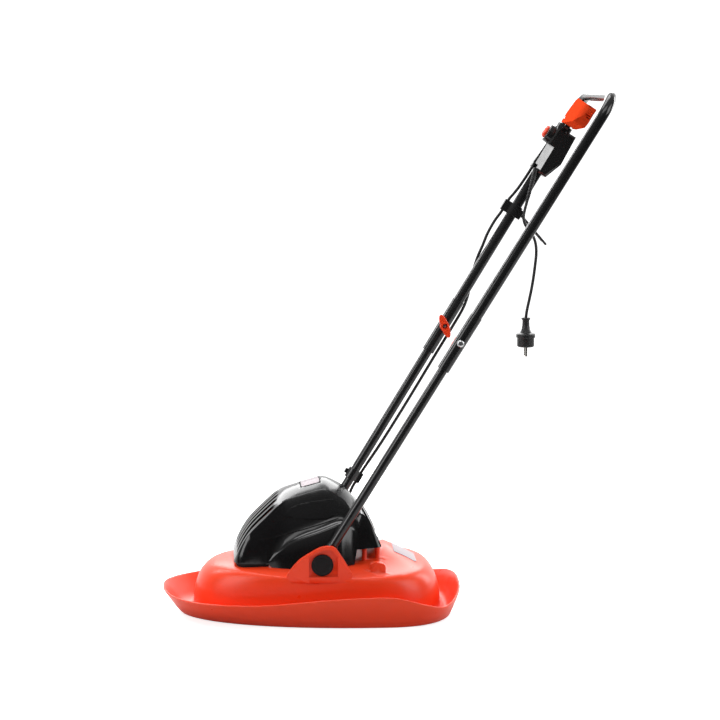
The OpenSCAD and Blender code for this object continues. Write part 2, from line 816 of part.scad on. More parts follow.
module suppressor() {
    color("#d8d4c2")
        translate([can_r + part_gap, -13, can_z + 10]) cube([11, 26, 18]);
}

module cable_gland() {
    color(black)
        at_gland()
            difference() {
                union() {
                    translate([0, 0, -7]) cylinder(r = gland_r, h = gland_out + gland_flange + 7);
                    translate([0, 0, gland_out]) cylinder(r = gland_r + 2, h = gland_flange);
                }
                translate([0, 0, -10]) cylinder(r = cable_d / 2 + press_gap, h = 40);
            }
}

module pivot_bushes() {
    color(black)
        mirror_pair()
            translate([pivot_x, recess_floor + 0.2, pivot_z]) rotate([90, 0, 0])
                difference() {
                    cylinder(r = bush_r, h = recess_floor - tower_in + 0.2);
                    translate([0, 0, -1]) cylinder(r = axle_r + run_gap, h = 20);
                }
}

// Rotor
spacer_r = 30;
spacer_h = 12;
disc_z = blade_z + blade_t + spacer_h;
disc_t = 3;
hub_r = 22;
shaft_top = top_z + 8;
shaft_bottom = blade_z;

module motor_shaft() {
    color(steel)
        union() {
            translate([0, 0, shaft_bottom]) cylinder(r = shaft_r - 1.5, h = disc_z - shaft_bottom);
            translate([0, 0, disc_z]) cylinder(r = shaft_r, h = shaft_top - disc_z);
        }
}
module armature_core() {
    color(grey)
        difference() {
            translate([0, 0, field_z]) cylinder(r = field_in - air_gap, h = field_h);
            translate([0, 0, field_z - 1]) cylinder(r = shaft_r + press_gap, h = field_h + 2);
            for (i = [0 : 11])
                rotate([0, 0, 30 * i]) translate([field_in - 3.4, -1.2, field_z - 1])
                    cube([4, 2.4, field_h + 2]);
        }
}
module armature_windings() {
    color(copper)
        for (z = [field_z - 9, field_z + field_h])
            translate([0, 0, z])
                rotate_extrude()
                    polygon([[shaft_r + press_gap, 0], [19, 0], [22, 3], [22, 6], [19, 9],
                             [shaft_r + press_gap, 9]]);
}
module commutator() {
    color(copper)
        difference() {
            translate([0, 0, comm_z]) cylinder(r = comm_r, h = comm_h);
            translate([0, 0, comm_z - 1]) cylinder(r = shaft_r + press_gap, h = comm_h + 2);
        }
}

impeller_r = impeller_d / 2;
eye_r = inlet_r - 10;
vane_t = 2.4;
vane_sweep = 52;
// Curved vane: an arc swept back from the eye to the rim
module vane(a) {
    steps = 8;
    side = [for (k = [0 : steps]) let (v = k / steps, r = lerp(eye_r - 8, impeller_r - 2, v))
        [r, -vane_sweep * pow(v, 0.85)]];
    rotate([0, 0, a])
        translate([0, 0, disc_z + disc_t - 0.5])
            linear_extrude(vane_h + 0.5)
                polygon(concat(
                    [for (p = side) [p[0] * cos(p[1]), p[0] * sin(p[1])]],
                    [for (i = [steps : -1 : 0]) let (p = side[i], d = 57.3 * vane_t / p[0])
                        [p[0] * cos(p[1] - d), p[0] * sin(p[1] - d)]]
                ));
}
module impeller() {
    color(black)
        difference() {
            union() {
                translate([0, 0, disc_z]) cylinder(r = impeller_r, h = disc_t);
                translate([0, 0, disc_z]) cylinder(r = hub_r, h = vane_h + disc_t - 8);
                for (i = [0 : vane_count - 1]) vane(360 * i / vane_count);
            }
            translate([0, 0, disc_z - 1]) cylinder(r = shaft_r + press_gap, h = vane_h + 20);
        }
}
module blade_spacers() {
    color("#3a3a3c")
        for (z = [0, 1])
            ring_solid(
                spacer_r, shaft_r - 1.5 + press_gap,
                blade_z + blade_t + z * spacer_h / 2, blade_z + blade_t + (z + 1) * spacer_h / 2
            );
}
module cutting_blade() {
    color(steel)
        difference() {
            translate([0, 0, blade_z])
                linear_extrude(blade_t)
                    intersection() {
                        circle(d = blade_len, $fn = 96);
                        polygon([
                            [-blade_len, -blade_w / 2 + 8], [-blade_len / 2 + 60, -blade_w / 2],
                            [blade_len, -blade_w / 2],
                            [blade_len, blade_w / 2 - 8], [blade_len / 2 - 60, blade_w / 2],
                            [-blade_len, blade_w / 2]
                        ]);
                    }
            translate([0, 0, blade_z - 1]) cylinder(r = shaft_r - 1.5 + press_gap, h = blade_t + 2);
            for (a = [0, 180])
                rotate([0, 0, a])
                    translate([blade_len / 2 - 70, -blade_w / 2 - 1, blade_z + blade_t])
                        rotate([-28, 0, 0])
                            cube([90, 12, 8]);
            for (a = [0, 180], x = [17, 23])
                rotate([0, 0, a]) translate([x, 0, blade_z - 1]) cylinder(r = 2.6, h = blade_t + 2);
        }
}
bolt_head_h = 6;
module blade_bolt() {
    color(steel)
        union() {
            translate([0, 0, blade_z - 2.5]) cylinder(r = 13, h = 2.5 - press_gap);
            translate([0, 0, blade_z - 2.5 - bolt_head_h]) cylinder(r = 8, h = bolt_head_h, $fn = 6);
        }
}

// Handle. Distances along the leg are measured from the pivot
tilt = 90 - handle_angle;
splay = asin((top_gap - pivot_gap) / 2 / handle_len);
upper_r = upper_d / 2;
lower_r = lower_d / 2;
sleeve_start = bolt_s - 62;
upper_start = sleeve_start + 21;
lower_end = bolt_s + 45;
bolt_r = 3;
function leg_at(s) = pivot_half + s * sin(splay);

// Frame of the handle's plane: X to the rear of it, Y to the right, Z up along it
module in_handle() {
    translate([pivot_x, 0, pivot_z]) rotate([0, tilt, 0]) children();
}
module on_leg(side) {
    translate([pivot_x, side * pivot_half, pivot_z])
        rotate([0, tilt, 0])
            rotate([-side * splay, 0, 0])
                children();
}
// Ground-frame place of a point of the handle's plane
function handle_point(p) = [
    pivot_x + p[0] * cos(tilt) + p[2] * sin(tilt),
    p[1],
    pivot_z - p[0] * sin(tilt) + p[2] * cos(tilt)
];

socket_r = lower_r + 2;
socket_start = 8;
socket_end = 42;
hub_out = tower_in - part_gap;
hub_in = pivot_half - 9;
hub_disc_r = 15;
module pivot_hub(side) {
    color(black)
        difference() {
            union() {
                translate([pivot_x, side * hub_in, pivot_z]) rotate([-90 * side, 0, 0])
                    cylinder(r = hub_disc_r, h = hub_out - hub_in);
                on_leg(side) translate([0, 0, socket_start])
                    cylinder(r = socket_r, h = socket_end - socket_start);
                translate([pivot_x, side * hub_in, pivot_z]) rotate([-90 * side, 0, 0])
                    cylinder(r = axle_r, h = cap_in - hub_in);
            }
            on_leg(side) translate([0, 0, 14]) cylinder(r = lower_r + press_gap, h = socket_end);
            translate([pivot_x, side * (hub_in - 1), pivot_z]) rotate([-90 * side, 0, 0])
                cylinder(r = 2.5, h = 60);
        }
}
cap_in = recess_floor + 0.6;
cap_t = 5;
cap_hole = 2.6;
module pivot_cap(side) {
    color(black)
        translate([pivot_x, side * cap_in, pivot_z]) rotate([-90 * side, 0, 0])
            difference() {
                rotate_extrude()
                    polygon([[0, 0], [cap_d / 2, 0], [cap_d / 2, cap_t - 2], [cap_d / 2 - 1.5, cap_t],
                             [cap_d / 2 - 5, cap_t], [cap_d / 2 - 6, cap_t - 1.2], [0, cap_t - 1.2]]);
                translate([0, 0, -1]) cylinder(r = 2.5, h = cap_hole + 1);
            }
}
module pivot_hub_left() { pivot_hub(-1); }
module pivot_hub_right() { pivot_hub(1); }
module pivot_cap_left() { pivot_cap(-1); }
module pivot_cap_right() { pivot_cap(1); }
module pivot_screws() {
    color(steel)
        for (side = [-1, 1])
            translate([pivot_x, side * hub_in, pivot_z]) rotate([-90 * side, 0, 0]) {
                translate([0, 0, -3]) cylinder(r = 5, h = 3);
                cylinder(r = 2.5 - screw_gap, h = cap_in + cap_hole - 0.2 - hub_in);
            }
}

module lower_tube(side) {
    color(black)
        on_leg(side)
            difference() {
                translate([0, 0, 14 + press_gap]) cylinder(r = lower_r, h = lower_end - 14);
                translate([0, 0, 10]) cylinder(r = lower_r - tube_wall, h = lower_end);
                translate([0, 0, bolt_s]) rotate([90, 0, 0])
                    cylinder(r = bolt_r + press_gap, h = 60, center = true);
            }
}
module lower_tube_left() { lower_tube(-1); }
module lower_tube_right() { lower_tube(1); }

module joint_sleeve(side) {
    color(black)
        on_leg(side)
            difference() {
                translate([0, 0, sleeve_start]) cylinder(d = sleeve_d, h = sleeve_len);
                translate([0, 0, sleeve_start - 1]) cylinder(r = lower_r + press_gap, h = sleeve_len + 2);
                translate([0, 0, upper_start - press_gap]) cylinder(r = upper_r + press_gap, h = sleeve_len);
                translate([0, 0, bolt_s]) rotate([90, 0, 0])
                    cylinder(r = bolt_r + press_gap, h = 60, center = true);
            }
}
module joint_sleeve_left() { joint_sleeve(-1); }
module joint_sleeve_right() { joint_sleeve(1); }

// Upper handle: two legs, two bends and the crossbar in the handle's plane
bend_s = handle_len - bend_r;
bend_y = pivot_half + (bend_s - bend_r * sin(splay)) * tan(splay) - bend_r * cos(splay);
leg_top = (bend_s - bend_r * sin(splay)) / cos(splay);
bend_key = 0.6;
bend_key_len = 4;
module handle_run(r, start) {
    for (side = [-1, 1])
        on_leg(side) translate([0, 0, start]) cylinder(r = r, h = leg_top - start);
    in_handle() {
        for (side = [-1, 1])
            multmatrix([[0, 0, 1, 0], [1, 0, 0, side * bend_y], [0, 1, 0, bend_s], [0, 0, 0, 1]])
                rotate([0, 0, side > 0 ? -splay : 90])
                    rotate_extrude(angle = 90 + splay)
                        translate([bend_r, 0]) circle(r = r);
        translate([0, bend_y, handle_len]) rotate([90, 0, 0]) cylinder(r = r, h = 2 * bend_y);
        for (side = [-1, 1])
            translate([0, side * bend_y, handle_len]) rotate([90, 0, 0])
                cylinder(r = r - bend_key, h = 2 * bend_key_len, center = true);
    }
    for (side = [-1, 1])
        on_leg(side) translate([0, 0, leg_top - bend_key_len])
            cylinder(r = r - bend_key, h = 2 * bend_key_len);
}
module upper_handle() {
    color(black)
        difference() {
            handle_run(upper_r, upper_start);
            for (side = [-1, 1]) on_leg(side) {
                translate([0, 0, upper_start - 1])
                    cylinder(r = lower_r + press_gap, h = leg_top - upper_start - 20);
                translate([0, 0, bolt_s]) rotate([90, 0, 0])
                    cylinder(r = bolt_r + press_gap, h = 60, center = true);
            }
        }
}

bolt_head = 3.5;
sleeve_r = sleeve_d / 2;
knob_seat = sleeve_r + part_gap;
knob_t = 15;
bolt_sunk = 4;
module joint_bolts() {
    color(steel)
        for (side = [-1, 1])
            on_leg(side) translate([0, 0, bolt_s]) rotate([90 * side, 0, 0]) {
                translate([0, 0, -sleeve_r - bolt_head])
                    rotate_extrude()
                        polygon([
                            [0, 0.4], [3, 0], [6, 1.2], [7, 2.4],
                            [7, bolt_head - press_gap], [0, bolt_head - press_gap]
                        ]);
                translate([0, 0, -sleeve_r - 1])
                    cylinder(r = bolt_r, h = knob_seat + sleeve_r + 1 + knob_t - bolt_sunk);
            }
}
// Turn of the left and the right knob about its bolt
knob_turns = [100, -38];
knob_boss_r = 10;
knob_recess = [5.5, 7];
module wing_knob(side) {
    turn = knob_turns[side < 0 ? 0 : 1];
    color(orange)
        on_leg(side) translate([0, 0, bolt_s]) rotate([90 * side, 0, 0])
            translate([0, 0, knob_seat])
                difference() {
                    union() {
                        cylinder(r = knob_boss_r, h = knob_t - 1);
                        hull()
                            for (e = [-1, 1])
                                rotate([0, 0, turn]) translate([e * (knob_len / 2 - 8), 0, 4])
                                    cylinder(r1 = 8, r2 = 7, h = knob_t - 4, $fn = 32);
                    }
                    translate([0, 0, -1]) cylinder(r = bolt_r + run_gap, h = knob_t + 5);
                    translate([0, 0, knob_t - knob_recess[1]]) cylinder(r = knob_recess[0], h = knob_t);
                }
}
module wing_knob_left() { wing_knob(-1); }
module wing_knob_right() { wing_knob(1); }

// Switch box on the right leg, near the top. X is to the rear of the handle's plane
bracket_h = 10;
box_top = handle_len - upper_r - 3 - lever_depth - 1 - bracket_h;
box_s = box_top - box_len;
box_front = 14;
box_rear = 31;
module box_outline(inset) {
    k = inset;
    polygon([
        [-box_front - 4 + k, box_s + 9 + k], [-box_front + 1 + k, box_top - k],
        [box_rear - 2 - k, box_top - k],
        [box_rear + 1 - k, box_s + 41], [18 - k, box_s + 3 + k], [-box_front + 10 + k, box_s + 3 + k]
    ]);
}
// Extrudes an outline drawn in [x, s] across the leg
module across_leg(y0, y1) {
    translate([0, y1, 0]) rotate([90, 0, 0]) linear_extrude(y1 - y0) children();
}
module box_solid() {
    hull() {
        across_leg(-box_w / 2 + 4, box_w / 2 - 4) box_outline(0);
        across_leg(-box_w / 2, box_w / 2) box_outline(4);
    }
}
button_s = box_top - boss_d / 2;
button_r = button_d / 2;
box_hollow = [[13, -13, box_s + 40], [15, 26, box_len - 55]];
half_gap = 0.02;
module box_half(side) {
    on_leg(1)
        difference() {
            box_solid();
            translate([-100, side > 0 ? half_gap - 100 : -half_gap, 0]) cube([200, 100, 2 * handle_len]);
            translate([0, 0, box_s - 20]) cylinder(r = upper_r + press_gap, h = box_len + 60);
            translate(box_hollow[0]) cube(box_hollow[1]);
            translate([0, 0, button_s]) rotate([0, -90, 0]) cylinder(r = button_r + 0.4, h = 60);
            translate([-box_front, 0, button_s]) rotate([0, -90, 0])
                cylinder(r = boss_d / 2 + part_gap, h = 20);
            for (s = box_screw_s)
                translate([22, 0, s]) rotate([90, 0, 0]) cylinder(r = 1.7, h = 100, center = true);
            translate([cable_in[0], cable_in[1], box_s - 5]) cylinder(r = cable_d / 2 + press_gap, h = 25);
        }
}
// Where the motor cable enters the box, in the leg's frame
cable_in = [-15, -4];
relief_r = 5.2;
module relief_hole() {
    between(relief_start, relief_end) translate([0, 0, -0.02]) cylinder(r = relief_r + press_gap, h = 30);
}
box_screw_s = [box_s + 30, box_top - 8];
module switch_box_left() {
    color(black)
        difference() {
            box_half(-1);
            relief_hole();
        }
}
module switch_box_right() { color(black) box_half(1); }
module switch_box_screws() {
    color(steel)
        on_leg(1)
            for (s = box_screw_s)
                translate([22, box_w / 2, s]) rotate([90, 0, 0]) {
                    translate([0, 0, -2 - press_gap]) cylinder(r = 3, h = 2);
                    translate([0, 0, -1]) cylinder(r = 1.6, h = box_w - 6);
                }
}
// Room left in the box's hollow along the leg, for the switch's wires
switch_room = 20;
module micro_switch() {
    color("#26282c")
        on_leg(1)
            translate(box_hollow[0] + [press_gap, 3, 6]) cube([12, 20, box_hollow[1][2] - switch_room]);
}

boss_h = 13;
module button_housing() {
    color(black)
        on_leg(1) translate([-box_front - press_gap, 0, button_s]) rotate([0, -90, 0])
            difference() {
                rotate_extrude()
                    polygon([[button_r + run_gap, 0], [boss_d / 2, 0], [boss_d / 2 - 1, boss_h - 2],
                             [boss_d / 2 - 3, boss_h], [button_r + run_gap, boss_h]]);
            }
}
// The button's foot stands clear of the tube by its travel and a little more
button_rest = 2.5;
button_low = upper_r + button_travel + button_rest;
module lock_off_button() {
    color(orange)
        on_leg(1) translate([0, 0, button_s]) rotate([0, -90, 0])
            rotate_extrude()
                polygon(concat(
                    [[0, button_low], [button_r, button_low], [button_r, box_front + boss_h + 1.5]],
                    [for (k = [1 : 6]) [button_r * cos(15 * k), box_front + boss_h + 1.5 + 6.5 * sin(15 * k)]]
                ));
}
module button_spring() {
    color(steel)
        on_leg(1) translate([0, 0, button_s]) rotate([0, -90, 0])
            ring_solid(7, 5.6, upper_r + part_gap, button_low - press_gap);
}

// Trigger lever: a channel under the right half of the crossbar, hinged beside the right leg
lever_wall = 1.8;
lever_bottom = handle_len - upper_r - 3 - lever_depth;
lever_top = lever_bottom + lever_depth;
lever_pin_s = lever_bottom + 11;
lever_pin_y = leg_at(lever_pin_s) - 22;
lever_end = lever_pin_y + 8 - lever_len;
lever_pin_r = 3;
tongue_w = 10;
// How much lower the lever's top is at its free end, and the length and ridge of its nose
lever_drop = 16;
lever_nose = 30;
lever_ridge = 2;
module lever_plan(inset) {
    half = lever_w / 2 - inset;
    tip = lever_end + 1.4 * inset;
    polygon(concat(
        [[half, lever_pin_y + 30], [-half, lever_pin_y + 30]],
        [for (a = [0 : 15 : 90])
            [lever_ridge - (lever_ridge + half) * cos(a), tip + lever_nose * (1 - sin(a))]],
        [[half, tip + lever_nose / 3]]
    ));
}
module lever_tunnel(inset) {
    translate([0, 0, lever_bottom - 10]) linear_extrude(lever_depth + 20) lever_plan(inset);
}
module lever_side() {
    polygon([
        [lever_pin_y + 8, lever_bottom + 4], [lever_pin_y + 8, lever_bottom + 26],
        [lever_pin_y - 6, lever_top - 6], [lever_pin_y - 18, lever_top],
        [lever_end + 8, lever_top - lever_drop + 6], [lever_end, lever_top - lever_drop],
        [lever_end + 4, lever_bottom + 22], [lever_end + 20, lever_bottom + 6],
        [lever_pin_y - 40, lever_bottom], [lever_pin_y + 4, lever_bottom]
    ]);
}
// Extrudes an outline drawn in [y, s] through the handle's plane
module through_plane(x0, x1) {
    multmatrix([[0, 0, 1, x0], [1, 0, 0, 0], [0, 1, 0, 0], [0, 0, 0, 1]])
        linear_extrude(x1 - x0) children();
}
lever_rib_count = 5;
module trigger_lever() {
    color(orange)
        in_handle()
            difference() {
                intersection() {
                    through_plane(-lever_w / 2, lever_w / 2) lever_side();
                    lever_tunnel(0);
                }
                difference() {
                    intersection() {
                        through_plane(-lever_w / 2, lever_w / 2)
                            polygon([
                                [lever_pin_y + 20, lever_bottom - 5], [lever_pin_y + 20, lever_top + 5],
                                [lever_end - 5, lever_top + 5], [lever_end + 2, lever_top - lever_drop],
                                [lever_end + 6, lever_bottom + 24], [lever_end + 22, lever_bottom + 8.5],
                                [lever_pin_y - 40, lever_bottom + 2.5],
                                [lever_pin_y - 14, lever_bottom + 2.5],
                                [lever_pin_y - 14, lever_bottom - 5]
                            ]);
                        lever_tunnel(lever_wall);
                    }
                    for (i = [0 : lever_rib_count - 1])
                        translate([-lever_w / 2, lever_end + 26 + i * 18, lever_bottom])
                            cube([lever_w, 1.8, lever_depth - 24]);
                }
                translate([0, lever_pin_y, lever_pin_s]) rotate([0, 90, 0])
                    cylinder(r = lever_pin_r + run_gap, h = 80, center = true);
            }
}
module lever_bracket() {
    color(black)
        difference() {
            union() {
                on_leg(1)
                    translate([0, 0, box_top + press_gap]) cylinder(r = 17, h = bracket_h);
                in_handle()
                    through_plane(-tongue_w / 2, tongue_w / 2)
                        polygon([
                            [lever_pin_y + 12, box_top + 2], [lever_pin_y + 12, lever_bottom - 1],
                            [lever_pin_y + 9, lever_pin_s + 5], [lever_pin_y + 4, lever_pin_s + 9],
                            [lever_pin_y - 4, lever_pin_s + 9], [lever_pin_y - 8, lever_pin_s + 4],
                            [lever_pin_y - 6, lever_bottom - 4], [lever_pin_y, box_top + 2]
                        ]);
            }
            on_leg(1) translate([0, 0, box_top - 20]) cylinder(r = upper_r + press_gap, h = 60);
            in_handle() translate([0, lever_pin_y, lever_pin_s]) rotate([0, 90, 0])
                cylinder(r = lever_pin_r + press_gap, h = 80, center = true);
        }
}
module lever_pin() {
    color(steel)
        in_handle() translate([-lever_w / 2, lever_pin_y, lever_pin_s]) rotate([0, 90, 0])
            cylinder(r = lever_pin_r, h = lever_w);
}
module lever_spring() {
    color(steel)
        in_handle() translate([tongue_w / 2 + part_gap, lever_pin_y, lever_pin_s]) rotate([0, 90, 0])
            ring_solid(5.2, lever_pin_r + press_gap, 0, 5);
}

// Clips
clip_s = box_s - 88;
clip_h = 24;
hook_len = 78;
hook_r = 2.6;
clip_face = upper_r + 7;
cable_front = upper_r + cable_d / 2 + 6.5;
module upper_cable_clip() {
    color(black)
        on_leg(1)
            difference() {
                union() {
                    translate([0, 0, clip_s - clip_h / 2]) cylinder(r = upper_r + 4, h = clip_h);
                    translate([-cable_front - 6, -7, clip_s - clip_h / 2]) cube([cable_front, 14, clip_h]);
                    translate([0, -13, clip_s - clip_h / 2]) cube([clip_face, 18, clip_h - 4]);
                }
                translate([0, 0, clip_s - 40]) cylinder(r = upper_r + press_gap, h = 80);
                translate([-cable_front, 0, clip_s - 40]) cylinder(r = cable_d / 2 + press_gap, h = 80);
            }
}
module cord_hook() {
    color(black)
        on_leg(1)
            difference() {
                for (p = [[-9, hook_len], [1, hook_len - 9]])
                    translate([clip_face, p[0], clip_s - 1])
                        rotate([0, 108, 0])
                            union() {
                                translate([0, 0, -2]) cylinder(r = hook_r, h = p[1] + 2);
                                translate([0, 0, p[1]]) sphere(r = hook_r);
                            }
                translate([clip_face - 20 + press_gap, -20, clip_s - 20]) cube([20, 40, 40]);
            }
}
low_clip_s = 149;
low_clip_h = 22;
cable_rear = lower_r + cable_d / 2 + 1.2;
module lower_cable_clip() {
    color(black)
        on_leg(1)
            difference() {
                union() {
                    translate([0, 0, low_clip_s - low_clip_h / 2]) cylinder(r = lower_r + 4, h = low_clip_h);
                    translate([0, -6.5, low_clip_s - low_clip_h / 2]) cube([cable_rear + 6, 13, low_clip_h]);
                    translate([-lower_r - 9, -5, low_clip_s - 5]) cube([8, 10, 10]);
                }
                translate([0, 0, low_clip_s - 40]) cylinder(r = lower_r + press_gap, h = 80);
                translate([cable_rear, 0, low_clip_s - 40]) cylinder(r = cable_d / 2 + press_gap, h = 80);
            }
}

// Routes. Points are [rear, right, along] in the right leg's frame for the motor cable,
// and steps from the strain relief's mouth in the ground frame for the supply cord
function down_leg(t) = lerp(clip_s - clip_h / 2, bolt_s, t);
function down_lower(t) = lerp(bolt_s, low_clip_s + low_clip_h / 2, t);
motor_route = [
    [cable_in[0], cable_in[1], box_s + 18], [cable_in[0], cable_in[1], box_s - 2],
    [cable_in[0] - 0.4, -3, box_s - 22], [cable_in[0] - 1.4, -1, box_s - 44],
    [-cable_front + 1.8, 0, box_s - 62],
    [-cable_front, 0, clip_s + 14], [-cable_front, 0, clip_s - 14], [-cable_front - 2, 0, down_leg(0.1)],
    [-cable_front - 1, 0, down_leg(0.21)], [-17, 2, down_leg(0.31)], [-12, 9, down_leg(0.41)],
    [-4, 14.5, down_leg(0.52)], [5, 14.5, down_leg(0.62)], [13, 9, down_leg(0.71)], [17, 2, down_leg(0.82)],
    [17.5, 0, bolt_s], [17.5, 0, down_lower(0.18)], [18, 0, down_lower(0.38)], [18, 0, down_lower(0.58)],
    [17, 0, down_lower(0.78)], [cable_rear + 1, 0, down_lower(0.92)],
    [cable_rear, 0, low_clip_s + 13], [cable_rear, 0, low_clip_s - 11]
];
function leg_point(p) = handle_point([
    p[0],
    pivot_half + p[1] * cos(splay) + p[2] * sin(splay),
    p[2] * cos(splay) - p[1] * sin(splay)
]);
module motor_cable() {
    color(black)
        swept_tube(curve([for (p = motor_route) leg_point(p)], 2), cable_d / 2, 8);
}
tail_s = low_clip_s - 11 - part_gap;
gland_mouth = gland_out + gland_flange + press_gap;
tail_route = [
    leg_point([cable_rear, 0, tail_s]), leg_point([cable_rear, 0, tail_s - 10]),
    leg_point([cable_rear + 2, -1, tail_s - 26]), leg_point([cable_rear + 7, -6, tail_s - 42]),
    from_gland(gland_mouth + 34) + [4, 0, -14], from_gland(gland_mouth + 19) + [1, 0, -3],
    from_gland(gland_mouth + 9), from_gland(gland_mouth)
];
module cable_tail() {
    color(black)
        swept_tube(curve(tail_route, 4), cable_d / 2, 8);
}

relief_start = handle_point([-9, leg_at(box_s + 4) - 15, box_s + 9]);
relief_end = handle_point([10.3, leg_at(box_s) - 20, box_s - 55.6]);
relief_len = norm(relief_end - relief_start);
module strain_relief() {
    color(black)
        between(relief_start, relief_end)
            difference() {
                rotate_extrude()
                    polygon(concat(
                        [[0, 0], [relief_r, 0], [relief_r, 12]],
                        [for (k = [0 : 6])
                            let (z = 13 + k * (relief_len - 16) / 7, r = lerp(relief_r - 0.2, 4.1, k / 6))
                            for (q = [[r, z], [r, z + 4.4], [r - 0.6, z + 5], [r - 0.6, z + 7]]) q],
                        [[3.5, relief_len], [0, relief_len]]
                    ));
            }
}
supply_steps = [
    [0, 0, 0], [-3.4, -1.4, -12.5], [-7.2, -4.2, -26.5], [-8.4, -6.4, -38.5], [-5.4, -9.4, -50.5],
    [2.6, -12.4, -62.5], [10.6, -15.4, -74.5], [15.6, -17.4, -90.5], [16.6, -18.4, -110.5],
    [14.6, -18.4, -132.5], [11.6, -18.4, -157.5], [7.6, -18.4, -182.5], [2.6, -18.4, -207.5],
    [-1.4, -18.4, -226.5], [-3.4, -18.4, -241.5]
];
supply_route = [for (d = supply_steps) relief_end + d];
module supply_cord() {
    color(black)
        swept_tube(curve(supply_route, 2), cable_d / 2, 10);
}

plug_top = supply_route[len(supply_route) - 1];
plug_flange_r = plug_flange_d / 2;
plug_body_r = plug_body_d / 2;
pin_len = 19;
pin_neck = 0.6;
pin_root_r = plug_pin_d / 2 - 0.5;
pin_root_len = 6;
plug_h = 61;
module plug_body() {
    color(black)
        translate(plug_top - [0, 0, plug_h])
            difference() {
                rotate_extrude()
                    polygon([
                        [0, 0], [plug_body_r - 2, 0], [plug_body_r, 2], [plug_body_r, 19],
                        [plug_flange_r - 1, 19],
                        [plug_flange_r, 20], [plug_flange_r, 26], [plug_flange_r - 2, 28],
                        [12, 29.5], [9, 36],
                        [7.6, 44], [7.2, 52], [7.2, 56], [9.3, 57], [9.3, 60], [8.4, plug_h], [0, plug_h]
                    ]);
                for (e = [-1, 1])
                    translate([0, e * plug_pin_gap / 2, -1])
                        cylinder(r = pin_root_r + press_gap, h = pin_root_len + 2);
            }
}
module plug_pins() {
    color(steel)
        for (e = [-1, 1])
            translate(plug_top + [0, e * plug_pin_gap / 2, -plug_h - pin_len]) {
                cylinder(r = plug_pin_d / 2, h = pin_len - pin_neck);
                cylinder(r = pin_root_r, h = pin_len + pin_root_len);
            }
}

hover_deck();
motor_cover();
rear_panel();
badge_plate();
cover_screws();
motor_bracket();
motor_can();
field_core();
field_coils();
upper_bracket();
lower_bearing();
upper_bearing();
brush_holders();
carbon_brushes();
motor_screws();
suppressor();
cable_gland();
pivot_bushes();
motor_shaft();
armature_core();
armature_windings();
commutator();
impeller();
blade_spacers();
cutting_blade();
blade_bolt();
pivot_hub_left();
pivot_hub_right();
pivot_cap_left();
pivot_cap_right();
pivot_screws();
lower_tube_left();
lower_tube_right();
joint_sleeve_left();
joint_sleeve_right();
upper_handle();
joint_bolts();
wing_knob_left();
wing_knob_right();
switch_box_left();
switch_box_right();
switch_box_screws();
micro_switch();
button_housing();
lock_off_button();
button_spring();
lever_bracket();
trigger_lever();
lever_pin();
lever_spring();
upper_cable_clip();
lower_cable_clip();
cord_hook();
motor_cable();
cable_tail();
strain_relief();
supply_cord();
plug_body();
plug_pins();
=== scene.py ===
"""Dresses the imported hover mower: finishes, cords, moulded details, studio floor and camera."""
import json
import math

import bpy
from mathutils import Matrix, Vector


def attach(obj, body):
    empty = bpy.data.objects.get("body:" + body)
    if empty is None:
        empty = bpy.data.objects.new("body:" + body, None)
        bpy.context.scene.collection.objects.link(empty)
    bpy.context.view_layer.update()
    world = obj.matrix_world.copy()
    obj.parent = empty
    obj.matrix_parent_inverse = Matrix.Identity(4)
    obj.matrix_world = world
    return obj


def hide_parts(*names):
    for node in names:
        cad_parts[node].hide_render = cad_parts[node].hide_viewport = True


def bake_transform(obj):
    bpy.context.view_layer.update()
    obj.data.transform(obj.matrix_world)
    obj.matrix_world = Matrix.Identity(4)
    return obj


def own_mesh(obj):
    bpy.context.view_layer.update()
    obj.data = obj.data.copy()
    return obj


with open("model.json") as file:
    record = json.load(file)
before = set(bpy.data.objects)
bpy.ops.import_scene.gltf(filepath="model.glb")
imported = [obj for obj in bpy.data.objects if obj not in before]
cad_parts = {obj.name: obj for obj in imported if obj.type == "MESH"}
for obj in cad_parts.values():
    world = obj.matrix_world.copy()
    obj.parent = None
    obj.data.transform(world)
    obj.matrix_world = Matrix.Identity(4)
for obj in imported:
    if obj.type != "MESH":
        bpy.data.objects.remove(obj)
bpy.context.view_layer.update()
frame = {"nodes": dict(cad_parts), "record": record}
nodes = frame["nodes"]
slot_of = {row["node"]: row["material_slot"] for row in frame["record"]["subparts"]}
body_of_node = {}
for body_name, members in frame["record"]["behaviour"]["bodies"].items():
    for member in members:
        body_of_node[member] = body_name

MM = 0.001
WHITE = (1.0, 1.0, 1.0, 1.0)
SIDES = ((-1, "left"), (1, "right"))


def link_new(name, data):
    """A new object in the scene, for a camera, a lamp or a curve."""
    made = bpy.data.objects.new(name, data)
    bpy.context.scene.collection.objects.link(made)
    return made


# Camera, at the photograph's angle

LOOK_AT = Vector((0.096, 0.0, 0.505))
CAMERA_AZIMUTH = math.radians(-4.0)
CAMERA_ELEVATION = math.radians(7.6)
CAMERA_DISTANCE = 4.2
CAMERA_LENS = 105.0
CAMERA_SENSOR = 36.0


def place_camera():
    flat = math.cos(CAMERA_ELEVATION)
    back = Vector((
        math.sin(CAMERA_AZIMUTH) * flat,
        -math.cos(CAMERA_AZIMUTH) * flat,
        math.sin(CAMERA_ELEVATION),
    ))
    lens = bpy.data.cameras.new("studio_camera")
    lens.lens = CAMERA_LENS
    lens.sensor_width = CAMERA_SENSOR
    lens.sensor_fit = "HORIZONTAL"
    camera = link_new("studio_camera", lens)
    camera.location = LOOK_AT + back * CAMERA_DISTANCE
    camera.rotation_euler = back.to_track_quat("Z", "Y").to_euler()
    bpy.context.scene.camera = camera


place_camera()

# Handle geometry, as in the part's source, in millimetres

